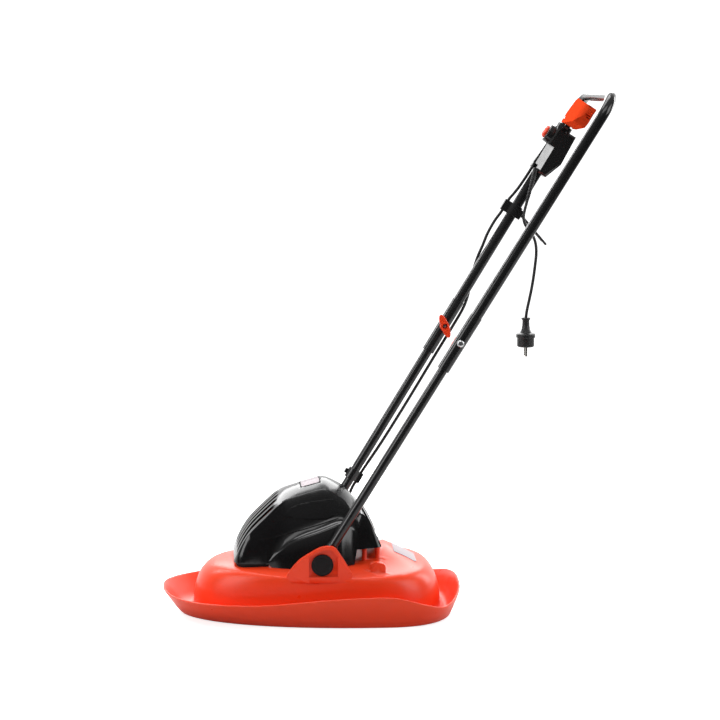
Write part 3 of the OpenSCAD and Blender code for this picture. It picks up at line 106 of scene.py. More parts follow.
HANDLE_LENGTH = 1065.0
PIVOT_GAP = 259.0
TOP_GAP = 332.0
PIVOT = Vector((12.0, PIVOT_GAP / 2, 121.5))
TILT = math.radians(31.6)
SPLAY = math.asin((TOP_GAP - PIVOT_GAP) / 2 / HANDLE_LENGTH)


def handle_point(rear, right, along):
    """Ground-frame point, in metres, of a place given in the handle's own plane in millimetres."""
    return Vector((
        PIVOT.x + rear * math.cos(TILT) + along * math.sin(TILT),
        right,
        PIVOT.z - rear * math.sin(TILT) + along * math.cos(TILT),
    )) * MM


def leg_point(rear, right, along, side=1):
    """Ground-frame point, in metres, of a place given in a leg's own frame in millimetres."""
    from_middle = side * (PIVOT.y + along * math.sin(SPLAY)) + right * math.cos(SPLAY)
    up_plane = along * math.cos(SPLAY) - side * right * math.sin(SPLAY)
    return handle_point(rear, from_middle, up_plane)


# Cords, with places along the right leg in millimetres from its pivot

CABLE_D = 6.2 * MM
CABLE_ROUNDNESS = 5
BOX_FOOT = 877.0
CLIP_S = BOX_FOOT - 88.0
LOW_CLIP_S = 149.0
CABLE_FRONT = 20.6
CABLE_REAR = 13.8


def only(piece):
    """Makes a piece the one selected and active object."""
    bpy.ops.object.select_all(action="DESELECT")
    piece.select_set(True)
    bpy.context.view_layer.objects.active = piece


def smooth_route(points, steps):
    """Points along a smooth curve through given points."""
    last = len(points) - 1
    route = []
    for i in range(last):
        a = points[max(0, i - 1)]
        b = points[i]
        c = points[i + 1]
        d = points[min(last, i + 2)]
        for k in range(steps):
            t = k / steps
            route.append(0.5 * (
                2 * b + (c - a) * t + (2 * a - 5 * b + 4 * c - d) * t * t
                + (3 * b - a - 3 * c + d) * t ** 3
            ))
    route.append(points[last])
    return route


def round_cable(name, route, diameter):
    """A round cable or wire as a mesh tube that follows the route."""
    data = bpy.data.curves.new(name, "CURVE")
    data.dimensions = "3D"
    data.bevel_depth = diameter / 2
    data.bevel_resolution = CABLE_ROUNDNESS
    data.use_fill_caps = True
    spline = data.splines.new("POLY")
    spline.points.add(len(route) - 1)
    for point, place in zip(spline.points, route):
        point.co = (*place, 1.0)
    spline.use_smooth = True
    cable = link_new(name, data)
    only(cable)
    bpy.ops.object.convert(target="MESH")
    return cable


# The supply cord's route, as steps in millimetres from the strain relief's end
RELIEF_END = Vector((451.175, 139.557, 815.711)) * MM
SUPPLY_STEPS = [
    (0, 0, 0), (-3.4, -1.4, -12.5), (-7.2, -4.2, -26.5), (-8.4, -6.4, -38.5), (-5.4, -9.4, -50.5),
    (2.6, -12.4, -62.5), (10.6, -15.4, -74.5), (15.6, -17.4, -90.5), (16.6, -18.4, -110.5),
    (14.6, -18.4, -132.5), (11.6, -18.4, -157.5), (7.6, -18.4, -182.5), (2.6, -18.4, -207.5),
    (-1.4, -18.4, -226.5), (-3.4, -18.4, -241.5),
]
supply_route = smooth_route([RELIEF_END + Vector(step) * MM for step in SUPPLY_STEPS], steps=4)
supply_cord = round_cable("supply_cord_sheath", supply_route, CABLE_D)
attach(supply_cord, "handle")
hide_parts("supply_cord")

# The motor cable's route in the right leg's frame, as rear, right and along in millimetres
MOTOR_ROUTE = [
    (-15, -4, BOX_FOOT + 18), (-15, -4, BOX_FOOT - 2), (-15.4, -3, BOX_FOOT - 22),
    (-16.4, -1, BOX_FOOT - 44), (-CABLE_FRONT + 1.8, 0, BOX_FOOT - 62),
    (-CABLE_FRONT, 0, CLIP_S + 14), (-CABLE_FRONT, 0, CLIP_S - 14),
    (-CABLE_FRONT - 2, 0, 750.4), (-CABLE_FRONT - 1, 0, 721.14), (-17, 2, 694.54), (-12, 9, 667.94),
    (-4, 14.5, 638.68), (5, 14.5, 612.08), (13, 9, 588.14), (17, 2, 558.88), (17.5, 0, 511),
    (17.5, 0, 447.82), (18, 0, 377.62), (18, 0, 307.42), (17, 0, 237.22), (CABLE_REAR + 1, 0, 188.08),
    (CABLE_REAR, 0, LOW_CLIP_S + 13), (CABLE_REAR, 0, LOW_CLIP_S - 11),
]
motor_route = smooth_route([leg_point(*place) for place in MOTOR_ROUTE], steps=5)
motor_cable = round_cable("motor_cable_sheath", motor_route, CABLE_D)
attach(motor_cable, "handle")
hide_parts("motor_cable")

# The cable tail's route, from the low clip on the leg into the gland in the cover
TAIL_S = LOW_CLIP_S - 11.3
GLAND = Vector((66.0, 73.0, 206.0))
GLAND_TILT = math.radians(17.0)
GLAND_MOUTH = 6.65


def from_gland(reach, shift=(0, 0, 0)):
    out = Vector((0.0, math.cos(GLAND_TILT), math.sin(GLAND_TILT)))
    return (GLAND + out * reach + Vector(shift)) * MM


tail_route = smooth_route([
    leg_point(CABLE_REAR, 0, TAIL_S), leg_point(CABLE_REAR, 0, TAIL_S - 10),
    leg_point(CABLE_REAR + 2, -1, TAIL_S - 26), leg_point(CABLE_REAR + 7, -6, TAIL_S - 42),
    from_gland(GLAND_MOUTH + 34, (4, 0, -14)), from_gland(GLAND_MOUTH + 19, (1, 0, -3)),
    from_gland(GLAND_MOUTH + 9), from_gland(GLAND_MOUTH),
], steps=8)
tail = round_cable("cable_tail_sheath", tail_route, CABLE_D)

# Shader groups


def new_group(name, inputs, outputs):
    group = bpy.data.node_groups.new(name, "ShaderNodeTree")
    for socket, kind, value in inputs:
        made = group.interface.new_socket(socket, in_out="INPUT", socket_type=kind)
        if value is not None:
            made.default_value = value
    for socket, kind in outputs:
        group.interface.new_socket(socket, in_out="OUTPUT", socket_type=kind)
    return group, group.nodes.new("NodeGroupInput"), group.nodes.new("NodeGroupOutput")


def set_or_link(tree, socket, value):
    """Gives a socket a plain number or colour, or links another node's output to it."""
    if isinstance(value, (int, float, tuple)):
        socket.default_value = value
    else:
        tree.links.new(value, socket)


def noise(tree, vector, scale, detail=2.0, roughness=0.5):
    node = tree.nodes.new("ShaderNodeTexNoise")
    set_or_link(tree, node.inputs["Scale"], scale)
    node.inputs["Detail"].default_value = detail
    node.inputs["Roughness"].default_value = roughness
    tree.links.new(vector, node.inputs["Vector"])
    return node.outputs["Fac"]


def math_node(tree, operation, a, b):
    node = tree.nodes.new("ShaderNodeMath")
    node.operation = operation
    set_or_link(tree, node.inputs[0], a)
    set_or_link(tree, node.inputs[1], b)
    return node.outputs[0]


def remap(tree, value, low, high, between=(0.3, 0.7)):
    node = tree.nodes.new("ShaderNodeMapRange")
    tree.links.new(value, node.inputs["Value"])
    node.inputs["From Min"].default_value = between[0]
    node.inputs["From Max"].default_value = between[1]
    set_or_link(tree, node.inputs["To Min"], low)
    set_or_link(tree, node.inputs["To Max"], high)
    return node.outputs["Result"]


def mix_colour(tree, factor, a, b):
    node = tree.nodes.new("ShaderNodeMix")
    node.data_type = "RGBA"
    tree.links.new(factor, node.inputs["Factor"])
    set_or_link(tree, node.inputs["A"], a)
    set_or_link(tree, node.inputs["B"], b)
    return node.outputs["Result"]


SURFACE = [("Color", "NodeSocketColor"), ("Roughness", "NodeSocketFloat"), ("Height", "NodeSocketFloat")]
DRAWN_STRETCH = (1.0, 9.0, 9.0)


def make_moulded_group():
    """Moulded plastic: slow tone drift, orange-peel height and a patchy gloss."""
    group, given, made = new_group("moulded_plastic", [
        ("Vector", "NodeSocketVector", None),
        ("Tone A", "NodeSocketColor", (0.5, 0.5, 0.5, 1)),
        ("Tone B", "NodeSocketColor", (0.4, 0.4, 0.4, 1)),
        ("Peel Scale", "NodeSocketFloat", 500.0),
        ("Gloss Low", "NodeSocketFloat", 0.2),
        ("Gloss High", "NodeSocketFloat", 0.3),
    ], SURFACE)
    have = given.outputs
    drift = noise(group, have["Vector"], scale=5.0, detail=3.0)
    rub = noise(group, have["Vector"], scale=38.0, detail=5.0, roughness=0.65)
    peel = noise(group, have["Vector"], scale=have["Peel Scale"], detail=1.0)
    tone = mix_colour(group, drift, have["Tone A"], have["Tone B"])
    gloss = remap(group, rub, have["Gloss Low"], have["Gloss High"])
    group.links.new(tone, made.inputs["Color"])
    group.links.new(gloss, made.inputs["Roughness"])
    group.links.new(peel, made.inputs["Height"])
    return group


def make_metal_group():
    """Bare metal: fine drawn lines, stain patches and a broken gloss."""
    group, given, made = new_group("worked_metal", [
        ("Vector", "NodeSocketVector", None),
        ("Bright", "NodeSocketColor", (0.6, 0.6, 0.6, 1)),
        ("Dull", "NodeSocketColor", (0.4, 0.4, 0.4, 1)),
        ("Grain Scale", "NodeSocketFloat", 300.0),
        ("Gloss Low", "NodeSocketFloat", 0.25),
        ("Gloss High", "NodeSocketFloat", 0.45),
    ], SURFACE)
    have = given.outputs
    stretch = group.nodes.new("ShaderNodeMapping")
    stretch.inputs["Scale"].default_value = DRAWN_STRETCH
    group.links.new(have["Vector"], stretch.inputs["Vector"])
    lines = noise(group, stretch.outputs["Vector"], scale=have["Grain Scale"], detail=3.0)
    stain = noise(group, have["Vector"], scale=30.0, detail=4.0, roughness=0.6)
    tone = mix_colour(group, stain, have["Bright"], have["Dull"])
    gloss = remap(group, lines, have["Gloss Low"], have["Gloss High"])
    group.links.new(tone, made.inputs["Color"])
    group.links.new(gloss, made.inputs["Roughness"])
    group.links.new(lines, made.inputs["Height"])
    return group


MOULDED = make_moulded_group()
WORKED = make_metal_group()

# Finishes, one for each material slot of the record and some more for single pieces

RELIEF_DEPTH = 0.2 * MM
FINISH = {}


def new_finish(name, group, values, bump, shader):
    material = bpy.data.materials.new(name)
    material.use_nodes = True
    tree = material.node_tree
    principled = tree.nodes["Principled BSDF"]
    for socket, value in shader.items():
        principled.inputs[socket.replace("_", " ")].default_value = value
    place = tree.nodes.new("ShaderNodeTexCoord")
    effect = tree.nodes.new("ShaderNodeGroup")
    effect.node_tree = group
    tree.links.new(place.outputs["Object"], effect.inputs["Vector"])
    for socket, value in values.items():
        effect.inputs[socket].default_value = value
    tree.links.new(effect.outputs["Color"], principled.inputs["Base Color"])
    tree.links.new(effect.outputs["Roughness"], principled.inputs["Roughness"])
    relief = tree.nodes.new("ShaderNodeBump")
    relief.inputs["Strength"].default_value = bump
    relief.inputs["Distance"].default_value = RELIEF_DEPTH
    tree.links.new(effect.outputs["Height"], relief.inputs["Height"])
    tree.links.new(relief.outputs["Normal"], principled.inputs["Normal"])
    FINISH[name] = material


def moulded(name, tone_a, tone_b, gloss, peel, bump, **shader):
    values = {
        "Tone A": (*tone_a, 1), "Tone B": (*tone_b, 1), "Peel Scale": peel,
        "Gloss Low": gloss[0], "Gloss High": gloss[1],
    }
    new_finish(name, MOULDED, values, bump, shader)


def metal(name, bright, dull, gloss, grain, bump):
    values = {
        "Bright": (*bright, 1), "Dull": (*dull, 1), "Grain Scale": grain,
        "Gloss Low": gloss[0], "Gloss High": gloss[1],
    }
    new_finish(name, WORKED, values, bump, {"Metallic": 1.0})


moulded("orange_gloss", (0.84, 0.055, 0.013), (0.78, 0.047, 0.010),
        gloss=(0.27, 0.36), peel=420.0, bump=0.06, Specular_IOR_Level=0.35)
# Satin orange for the trigger lever, darker than the deck's orange: painted shade that tones down its
# over-lit faces
moulded("orange_satin_shaded", (0.64, 0.050, 0.013), (0.56, 0.042, 0.010),
        gloss=(0.40, 0.50), peel=700.0, bump=0.06, Specular_IOR_Level=0.0)
moulded("black_gloss", (0.0045, 0.0045, 0.005), (0.0065, 0.0065, 0.007),
        gloss=(0.12, 0.19), peel=420.0, bump=0.08)
moulded("black_plastic", (0.010, 0.010, 0.0105), (0.014, 0.014, 0.0145),
        gloss=(0.12, 0.20), peel=900.0, bump=0.10)
moulded("black_paint", (0.009, 0.009, 0.0095), (0.013, 0.013, 0.0135),
        gloss=(0.14, 0.20), peel=700.0, bump=0.15)
moulded("black_matte", (0.006, 0.006, 0.0065), (0.008, 0.008, 0.0085),
        gloss=(0.5, 0.6), peel=900.0, bump=0.1, Specular_IOR_Level=0.2)
moulded("cable_rubber", (0.008, 0.008, 0.0085), (0.012, 0.012, 0.0125),
        gloss=(0.36, 0.5), peel=1100.0, bump=0.3)
moulded("carbon", (0.02, 0.02, 0.02), (0.03, 0.03, 0.03), gloss=(0.6, 0.75), peel=1500.0, bump=0.4)
moulded("film_cap", (0.55, 0.50, 0.33), (0.48, 0.43, 0.28), gloss=(0.4, 0.5), peel=700.0, bump=0.2)
moulded("badge_silver", (0.46, 0.40, 0.425), (0.41, 0.36, 0.38),
        gloss=(0.5, 0.6), peel=500.0, bump=0.05, Specular_IOR_Level=0.2)
metal("steel", (0.62, 0.63, 0.64), (0.48, 0.49, 0.50), gloss=(0.18, 0.36), grain=350.0, bump=0.08)
metal("blade_steel", (0.50, 0.51, 0.52), (0.33, 0.33, 0.33), gloss=(0.25, 0.45), grain=260.0, bump=0.2)
metal("zinc_cast", (0.52, 0.53, 0.54), (0.40, 0.41, 0.42), gloss=(0.42, 0.6), grain=240.0, bump=0.4)
metal("lamination", (0.24, 0.24, 0.25), (0.15, 0.15, 0.16), gloss=(0.4, 0.6), grain=800.0, bump=0.4)
metal("copper", (0.72, 0.30, 0.14), (0.52, 0.19, 0.08), gloss=(0.25, 0.42), grain=900.0, bump=0.5)
metal("plug_metal", (0.74, 0.72, 0.68), (0.60, 0.58, 0.54), gloss=(0.16, 0.3), grain=420.0, bump=0.06)


def paint(piece, finish):
    piece.data.materials.clear()
    piece.data.materials.append(FINISH[finish])


for node_name, node in nodes.items():
    paint(node, slot_of[node_name])
for cable in (supply_cord, motor_cable, tail):
    paint(cable, "cable_rubber")
# The lever's darker orange is painted shade
paint(nodes["trigger_lever"], "orange_satin_shaded")
for node_name in ("pivot_cap_left", "pivot_cap_right"):
    paint(nodes[node_name], "black_matte")

# Shaping: on copies of solids and on new pieces, edges sharper than SHARP degrees are rounded, and edges
# sharper than SMOOTH degrees stay crisp in the shading

MERGE_WITHIN = 0.02 * MM
COPY_SHARP = 35.0
COPY_SMOOTH = 35.0
COPY_FLAT = 0.6
NEW_SHARP = 50.0
NEW_SMOOTH = 40.0


def to_edit():
    bpy.ops.object.mode_set(mode="EDIT")


def to_object():
    bpy.ops.object.mode_set(mode="OBJECT")


def select_whole():
    bpy.ops.mesh.select_all(action="SELECT")


def select_in_edit(piece, kind, chosen):
    """Selects the faces or edges, by their index, of the piece in edit mode."""
    bpy.ops.mesh.select_mode(type=kind)
    bpy.ops.mesh.select_all(action="DESELECT")
    to_object()
    items = piece.data.polygons if kind == "FACE" else piece.data.edges
    for index in chosen:
        items[index].select = True
    to_edit()


def face_outwards():
    """Turns all faces of the mesh in edit mode outwards, and goes back to object mode."""
    select_whole()
    bpy.ops.mesh.normals_make_consistent(inside=False)
    to_object()


def shade(angle):
    """Shades the active piece smooth, apart from edges sharper than the angle in degrees."""
    bpy.ops.object.shade_smooth_by_angle(angle=math.radians(angle))


def add_rounding(piece, width, sharp, segments=2):
    """Rounds the edges that are sharper than the angle in degrees."""
    rounding = piece.modifiers.new("rounding", "BEVEL")
    rounding.width = width
    rounding.segments = segments
    rounding.limit_method = "ANGLE"
    rounding.angle_limit = math.radians(sharp)


def add_wall(piece, height):
    """Thickens a face by the height to both sides."""
    wall = piece.modifiers.new("wall", "SOLIDIFY")
    wall.thickness = 2 * height
    wall.offset = 0.0
    return wall


def add_tool(piece, tool, operation):
    """Joins another piece to this one, or cuts it away."""
    join = piece.modifiers.new(tool.name, "BOOLEAN")
    join.object = tool
    join.operation = operation
    join.solver = "EXACT"


def apply_all(piece):
    only(piece)
    for modifier in list(piece.modifiers):
        bpy.ops.object.modifier_apply(modifier=modifier.name)


def own_copy(source, name):
    """A copy with a mesh of its own, as the one selected object."""
    piece = source.copy()
    piece.data = source.data.copy()
    piece.name = name
    bpy.context.scene.collection.objects.link(piece)
    only(piece)
    return piece


def drawn_face(name, corners):
    """A flat face drawn corner by corner, left in edit mode with all of it selected."""
    bpy.ops.object.select_all(action="DESELECT")
    bpy.ops.mesh.primitive_plane_add(size=MM, location=corners[0])
    piece = bpy.context.active_object
    piece.name = name
    bpy.ops.object.transform_apply(location=True, rotation=True, scale=True)
    to_edit()
    bpy.ops.mesh.select_mode(type="VERT")
    select_whole()
    bpy.ops.mesh.merge(type="CENTER")
    for here, there in zip(corners, corners[1:]):
        bpy.ops.mesh.extrude_region_move(TRANSFORM_OT_translate={"value": there - here})
    select_whole()
    bpy.ops.mesh.edge_face_add()
    return piece


def drawn_block(name, corners, rise):
    """A drawn face pulled up into a closed block, left in object mode."""
    block = drawn_face(name, corners)
    bpy.ops.mesh.extrude_region_move(TRANSFORM_OT_translate={"value": rise})
    face_outwards()
    return block


def slice_across(axis, low, high, step):
    """Cuts the face in edit mode across an axis, so that it can follow a curved surface."""
    normal = Vector((0, 0, 0))
    normal[axis] = 1.0
    for i in range(1, int((high - low) / step) + 1):
        select_whole()
        bpy.ops.mesh.bisect(plane_co=normal * (low + step * i), plane_no=normal)


def lay_on(piece, target, axis, towards, height, edge):
    """Presses a face onto a surface along an axis, thickens it to both sides and rounds its edges."""
    to_object()
    press = piece.modifiers.new("press", "SHRINKWRAP")
    press.target = target
    press.wrap_method = "PROJECT"
    press.use_project_x = axis == "X"
    press.use_project_y = axis == "Y"
    press.use_project_z = axis == "Z"
    press.use_positive_direction = towards > 0
    press.use_negative_direction = towards < 0
    wall = add_wall(piece, height)
    wall.use_even_offset = True
    add_rounding(piece, edge, NEW_SHARP, segments=3)
    apply_all(piece)
    to_edit()
    face_outwards()
    shade(NEW_SMOOTH)


def fit(piece, body, slot):
    """Lets a new piece move with a body and gives it a finish of the record."""
    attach(piece, body)
    paint(piece, slot)


def rounded_copy(node_name, width, smooth=COPY_SMOOTH, flatten=COPY_FLAT, cutter=None, prepare=None):
    """A merged copy of a solid, with its sharp edges rounded and its faces shaded smooth."""
    piece = own_copy(nodes[node_name], node_name + "_finished")
    piece.parent = None
    to_edit()
    select_whole()
    bpy.ops.mesh.remove_doubles(threshold=MERGE_WITHIN)
    if flatten:
        bpy.ops.mesh.dissolve_limited(angle_limit=math.radians(flatten))
    if prepare:
        prepare(piece)
    to_object()
    if cutter:
        add_tool(piece, cutter, "DIFFERENCE")
    if width:
        add_rounding(piece, width * MM, COPY_SHARP)
    apply_all(piece)
    shade(smooth)
    even = piece.modifiers.new("even_shading", "WEIGHTED_NORMAL")
    even.keep_sharp = True
    apply_all(piece)
    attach(piece, body_of_node[node_name])
    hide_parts(node_name)
    return piece


# How far the sharp edges of each solid are rounded, in millimetres
EDGE_ROUNDING = {
    "rear_panel": 0.6, "badge_plate": 0.4,
    "pivot_hub_left": 1.0, "pivot_hub_right": 1.0, "pivot_cap_left": 1.4, "pivot_cap_right": 1.4,
    "lower_tube_left": 0.0, "lower_tube_right": 0.0, "joint_sleeve_left": 0.5, "joint_sleeve_right": 0.5,
    "upper_handle": 0.0, "joint_bolts": 0.4, "switch_box_right": 1.6,
    "switch_box_screws": 0.3, "button_housing": 0.8, "lever_bracket": 0.8, "lever_pin": 0.4,
    "upper_cable_clip": 0.8, "lower_cable_clip": 0.8, "cord_hook": 0.4, "strain_relief": 0.5,
    "lock_off_button": 0.6,
    "impeller": 0.5, "cutting_blade": 0.4, "blade_spacers": 0.4, "blade_bolt": 0.4,
    "cable_gland": 0.4, "pivot_bushes": 0.3, "plug_body": 0.6, "plug_pins": 0.5,
}
finished = {name: rounded_copy(name, width) for name, width in EDGE_ROUNDING.items()}

# The towers' outlines have straight stretches in the source, which are turned into curves here
TOWER_LOW = 96 * MM
TOWER_NEAR = 118 * MM
TOWER_THICK = 9 * MM
TOWER_FLAT = 0.5
TOWER_CURVE_PERCENT = 42
LEVEL_WITHIN = 0.05 * MM


def on_tower(place):
    return place.z > TOWER_LOW and abs(place.y) > TOWER_NEAR


def crosses_tower(a, b):
    level = abs(a.x - b.x) < LEVEL_WITHIN and abs(a.z - b.z) < LEVEL_WITHIN
    return level and abs(a.y - b.y) > TOWER_THICK and on_tower(a) and b.z > TOWER_LOW


def round_towers(piece):
    to_object()
    towers = [face.index for face in piece.data.polygons if on_tower(face.center)]
    to_edit()
    select_in_edit(piece, "FACE", towers)
    bpy.ops.mesh.dissolve_limited(angle_limit=math.radians(TOWER_FLAT))
    to_object()
    corners = piece.data.vertices
    across = [
        edge.index for edge in piece.data.edges
        if crosses_tower(corners[edge.vertices[0]].co, corners[edge.vertices[1]].co)
    ]
    to_edit()
    select_in_edit(piece, "EDGE", across)
    bpy.ops.mesh.bevel(offset_type="PERCENT", offset_pct=TOWER_CURVE_PERCENT, segments=5, affect="EDGES")


# The deck's turned-up lip has a rounded rim
RIM_SHARP = math.radians(42)
RIM_LOW = 12 * MM
RIM_ROUNDING = 1.0 * MM
RIM_SHARE = 0.8
DECK_REACH = (300 * MM, 205 * MM)


def on_rim(place):
    share = (place.x / DECK_REACH[0]) ** 2 + (place.y / DECK_REACH[1]) ** 2
    return place.z > RIM_LOW and share > RIM_SHARE


def round_rim(piece):
    bpy.ops.mesh.select_mode(type="EDGE")
    bpy.ops.mesh.select_all(action="DESELECT")
    bpy.ops.mesh.edges_select_sharp(sharpness=RIM_SHARP)
    to_object()
    corners = piece.data.vertices
    rim = [
        edge.index for edge in piece.data.edges
        if edge.select and all(on_rim(corners[i].co) for i in edge.vertices)
    ]
    to_edit()
    select_in_edit(piece, "EDGE", rim)
    bpy.ops.mesh.bevel(offset=RIM_ROUNDING, segments=3, affect="EDGES", clamp_overlap=True)


def shape_deck(piece):
    round_towers(piece)
    round_rim(piece)


DECK_SMOOTH = 26.0
COVER_SMOOTH = 20.0
finished["hover_deck"] = rounded_copy(
    "hover_deck", 0.0, smooth=DECK_SMOOTH, flatten=0.0, prepare=shape_deck)
finished["motor_cover"] = rounded_copy("motor_cover", 0.0, smooth=COVER_SMOOTH, flatten=0.0)

# The switch box is hollowed away along its front corner, below the button's housing
BOX_ROUNDING = 1.6
SCOOP_LOW = BOX_FOOT - 12
SCOOP_HIGH = BOX_FOOT + 64
SCOOP_SECTION = [(-30, 1), (-14, 0.5), (0.5, -22.5), (0.5, -45), (-30, -45)]
scoop_rise = leg_point(0, 0, SCOOP_HIGH) - leg_point(0, 0, SCOOP_LOW)
scoop = drawn_block(
    "scoop_cutter", [leg_point(rear, right, SCOOP_LOW) for rear, right in SCOOP_SECTION], scoop_rise)
finished["switch_box_left"] = rounded_copy("switch_box_left", BOX_ROUNDING, cutter=scoop)
bpy.data.objects.remove(scoop)

# Grip slots in the facet at the lever's free end, with the facet's ends as rear and right in millimetres
LEVER_ROUNDING = 0.5
FACET = ((1.5, 3.5), (15.5, 15.2))
FACET_OUT = (0.64, -0.77)
SLOT_OUTSIDE = 3
SLOT_INSIDE = -4
SLOT_COUNT = 4
SLOT_LOW = 1016.5
SLOT_PITCH = 4.4
SLOT_HEIGHT = 2.6
SLOT_SECTION = [
    (rear + reach * FACET_OUT[0], right + reach * FACET_OUT[1])
    for (rear, right), reach in (
        (FACET[0], SLOT_OUTSIDE), (FACET[1], SLOT_OUTSIDE),
        (FACET[1], SLOT_INSIDE), (FACET[0], SLOT_INSIDE))
]
slot_rise = handle_point(0, 0, SLOT_HEIGHT) - handle_point(0, 0, 0)
slot_blocks = []
for i in range(SLOT_COUNT):
    slot_corners = [handle_point(rear, right, SLOT_LOW + i * SLOT_PITCH) for rear, right in SLOT_SECTION]
    slot_blocks.append(drawn_block("grip_slot_%d" % i, slot_corners, slot_rise))
only(slot_blocks[0])
for block in slot_blocks:
    block.select_set(True)
bpy.ops.object.join()
grip_slots = bpy.context.active_object
finished["trigger_lever"] = rounded_copy("trigger_lever", LEVER_ROUNDING, cutter=grip_slots)
bpy.data.objects.remove(grip_slots)

# Wing knobs on the joints' bolts, with radii and heights above the knob's seat in millimetres
KNOB_S = 511.0
KNOB_SEAT = 12.6
KNOB_TURN = {-1: math.radians(100.0), 1: math.radians(-38.0)}
WING = [
    (27, 0), (22, 5.2), (11, 8.2), (0, 9), (-11, 8.2), (-22, 5.2), (-27, 0), (-22, -5.2), (-11, -8.2),
    (0, -9), (11, -8.2), (22, -5.2),
]
WING_LOW = 4.6
WING_HIGH = 14.6
WING_CROWN = 2.6 * MM
WING_LEVELS = 2
BOSS_R = 9.6
BOSS_HIGH = 13.4
RECESS_R = 5.5
RECESS_LOW = 8
BORE_R = 3.3
BORE_LOW = -2
CUT_HIGH = 20
KNOB_ROUNDING = 0.5 * MM
KNOB_SHARP = 40.0
DISC_CORNERS = 32


def knob_point(side, u, v, w):
    """Ground-frame point of a place on a knob: u and v across it, w out of the leg's inner side."""
    rear = u * math.cos(KNOB_TURN[side]) - v * math.sin(KNOB_TURN[side])
    up = u * math.sin(KNOB_TURN[side]) + v * math.cos(KNOB_TURN[side])
    return leg_point(rear, -side * w, KNOB_S + side * up, side)


def knob_block(name, side, outline, low, high):
    corners = [knob_point(side, u, v, KNOB_SEAT + low) for u, v in outline]
    return drawn_block(name, corners, knob_point(side, 0, 0, high) - knob_point(side, 0, 0, low))


def knob_disc(name, side, radius, low, high):
    turns = [2 * math.pi * i / DISC_CORNERS for i in range(DISC_CORNERS)]
    outline = [(radius * math.cos(turn), radius * math.sin(turn)) for turn in turns]
    return knob_block(name, side, outline, low, high)


def wing_knob(side, side_name):
    knob = knob_block("wing_knob_" + side_name + "_finished", side, WING, WING_LOW, WING_HIGH)
    add_rounding(knob, WING_CROWN, NEW_SHARP)
    swell = knob.modifiers.new("swell", "SUBSURF")
    swell.levels = WING_LEVELS
    swell.render_levels = WING_LEVELS
    boss = knob_disc("knob_boss", side, BOSS_R, 0, BOSS_HIGH)
    recess = knob_disc("knob_recess", side, RECESS_R, RECESS_LOW, CUT_HIGH)
    bore = knob_disc("knob_bore", side, BORE_R, BORE_LOW, CUT_HIGH)
    add_tool(knob, boss, "UNION")
    add_tool(knob, recess, "DIFFERENCE")
    add_tool(knob, bore, "DIFFERENCE")
    add_rounding(knob, KNOB_ROUNDING, KNOB_SHARP)
    apply_all(knob)
    shade(NEW_SMOOTH)
    for tool in (boss, recess, bore):
        bpy.data.objects.remove(tool)
    fit(knob, "knob_" + side_name, "orange_gloss")
    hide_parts("wing_knob_" + side_name)


for side, side_name in SIDES:
    wing_knob(side, side_name)

# Raised pads and creases on the cover's sides, as (x, z) outlines in millimetres
PAD = [
    (-58, 207), (-54, 214), (-46, 220), (-35, 225), (-12, 230), (20, 235), (42, 236), (50, 231),
    (51, 222), (44, 205), (24, 197), (-10, 196), (-40, 199), (-56, 203),
]
PAD_HEIGHT = 1.3 * MM
PAD_EDGE = 0.8 * MM
PAD_STEP = 5 * MM
CREASE = [
    (-115, 159.6), (-70, 168), (-27, 178), (10, 188.5), (48, 200), (48, 198.6), (10, 186.6), (-27, 176),
    (-70, 166.2),
]
CREASE_HEIGHT = 0.5 * MM
CREASE_EDGE = 0.35 * MM
CREASE_STEP = 6 * MM
# Where the outlines are drawn beside the cover, and the heights between which they are sliced, in metres
BESIDE_COVER = 0.2
SLICE_LOW = 0.195
SLICE_HIGH = 0.24


def lay_on_cover(name, outline, side, height, edge, step):
    piece = drawn_face(name, [Vector((x * MM, side * BESIDE_COVER, z * MM)) for x, z in outline])
    front = min(x for x, z in outline) * MM
    rear = max(x for x, z in outline) * MM
    slice_across(0, front, rear, step)
    slice_across(2, SLICE_LOW, SLICE_HIGH, step)
    lay_on(piece, finished["motor_cover"], "Y", -side, height, edge)
    fit(piece, "deck", "black_gloss")


for side, side_name in SIDES:
    lay_on_cover("cover_pad_" + side_name, PAD, side, PAD_HEIGHT, PAD_EDGE, PAD_STEP)
    lay_on_cover("cover_crease_" + side_name, CREASE, side, CREASE_HEIGHT, CREASE_EDGE, CREASE_STEP)

# Seal inside the cover's front rim, down to the deck, as an (x, y) half outline in millimetres: it shuts
# the gap under the rim, and its matte black is painted shade for the shadow under the cover's front
SHADE_SEAL_OUTSIDE = [
    (-91, 89.6), (-108, 88.0), (-124, 86.6), (-136, 85.0), (-144, 81.6), (-150, 76.8), (-155, 64.0),
    (-156.8, 40.0),
]
SHADE_SEAL_INSIDE = [
    (-151.6, 40.0), (-150, 61.0), (-146, 72.6), (-141, 77.0), (-134, 80.0), (-124, 81.6), (-108, 83.0),
    (-91, 84.6),
]
SHADE_SEAL_LOW = 104.0
SHADE_SEAL_HIGH = 117.0
SHADE_SEAL_EDGE = 0.8 * MM
shade_seal_outline = [(x, -y) for x, y in SHADE_SEAL_OUTSIDE] + [(x, y) for x, y in reversed(SHADE_SEAL_OUTSIDE)]
shade_seal_outline += [(x, y) for x, y in reversed(SHADE_SEAL_INSIDE)] + [(x, -y) for x, y in SHADE_SEAL_INSIDE]
cover_shade_seal = drawn_block(
    "cover_shade_seal", [Vector((x, y, SHADE_SEAL_LOW)) * MM for x, y in shade_seal_outline],
    Vector((0, 0, SHADE_SEAL_HIGH - SHADE_SEAL_LOW)) * MM)
add_rounding(cover_shade_seal, SHADE_SEAL_EDGE, NEW_SHARP)
apply_all(cover_shade_seal)
shade(NEW_SMOOTH)
fit(cover_shade_seal, "deck", "black_plastic")
# Matte black: painted shade under the cover's front rim
paint(cover_shade_seal, "black_matte")

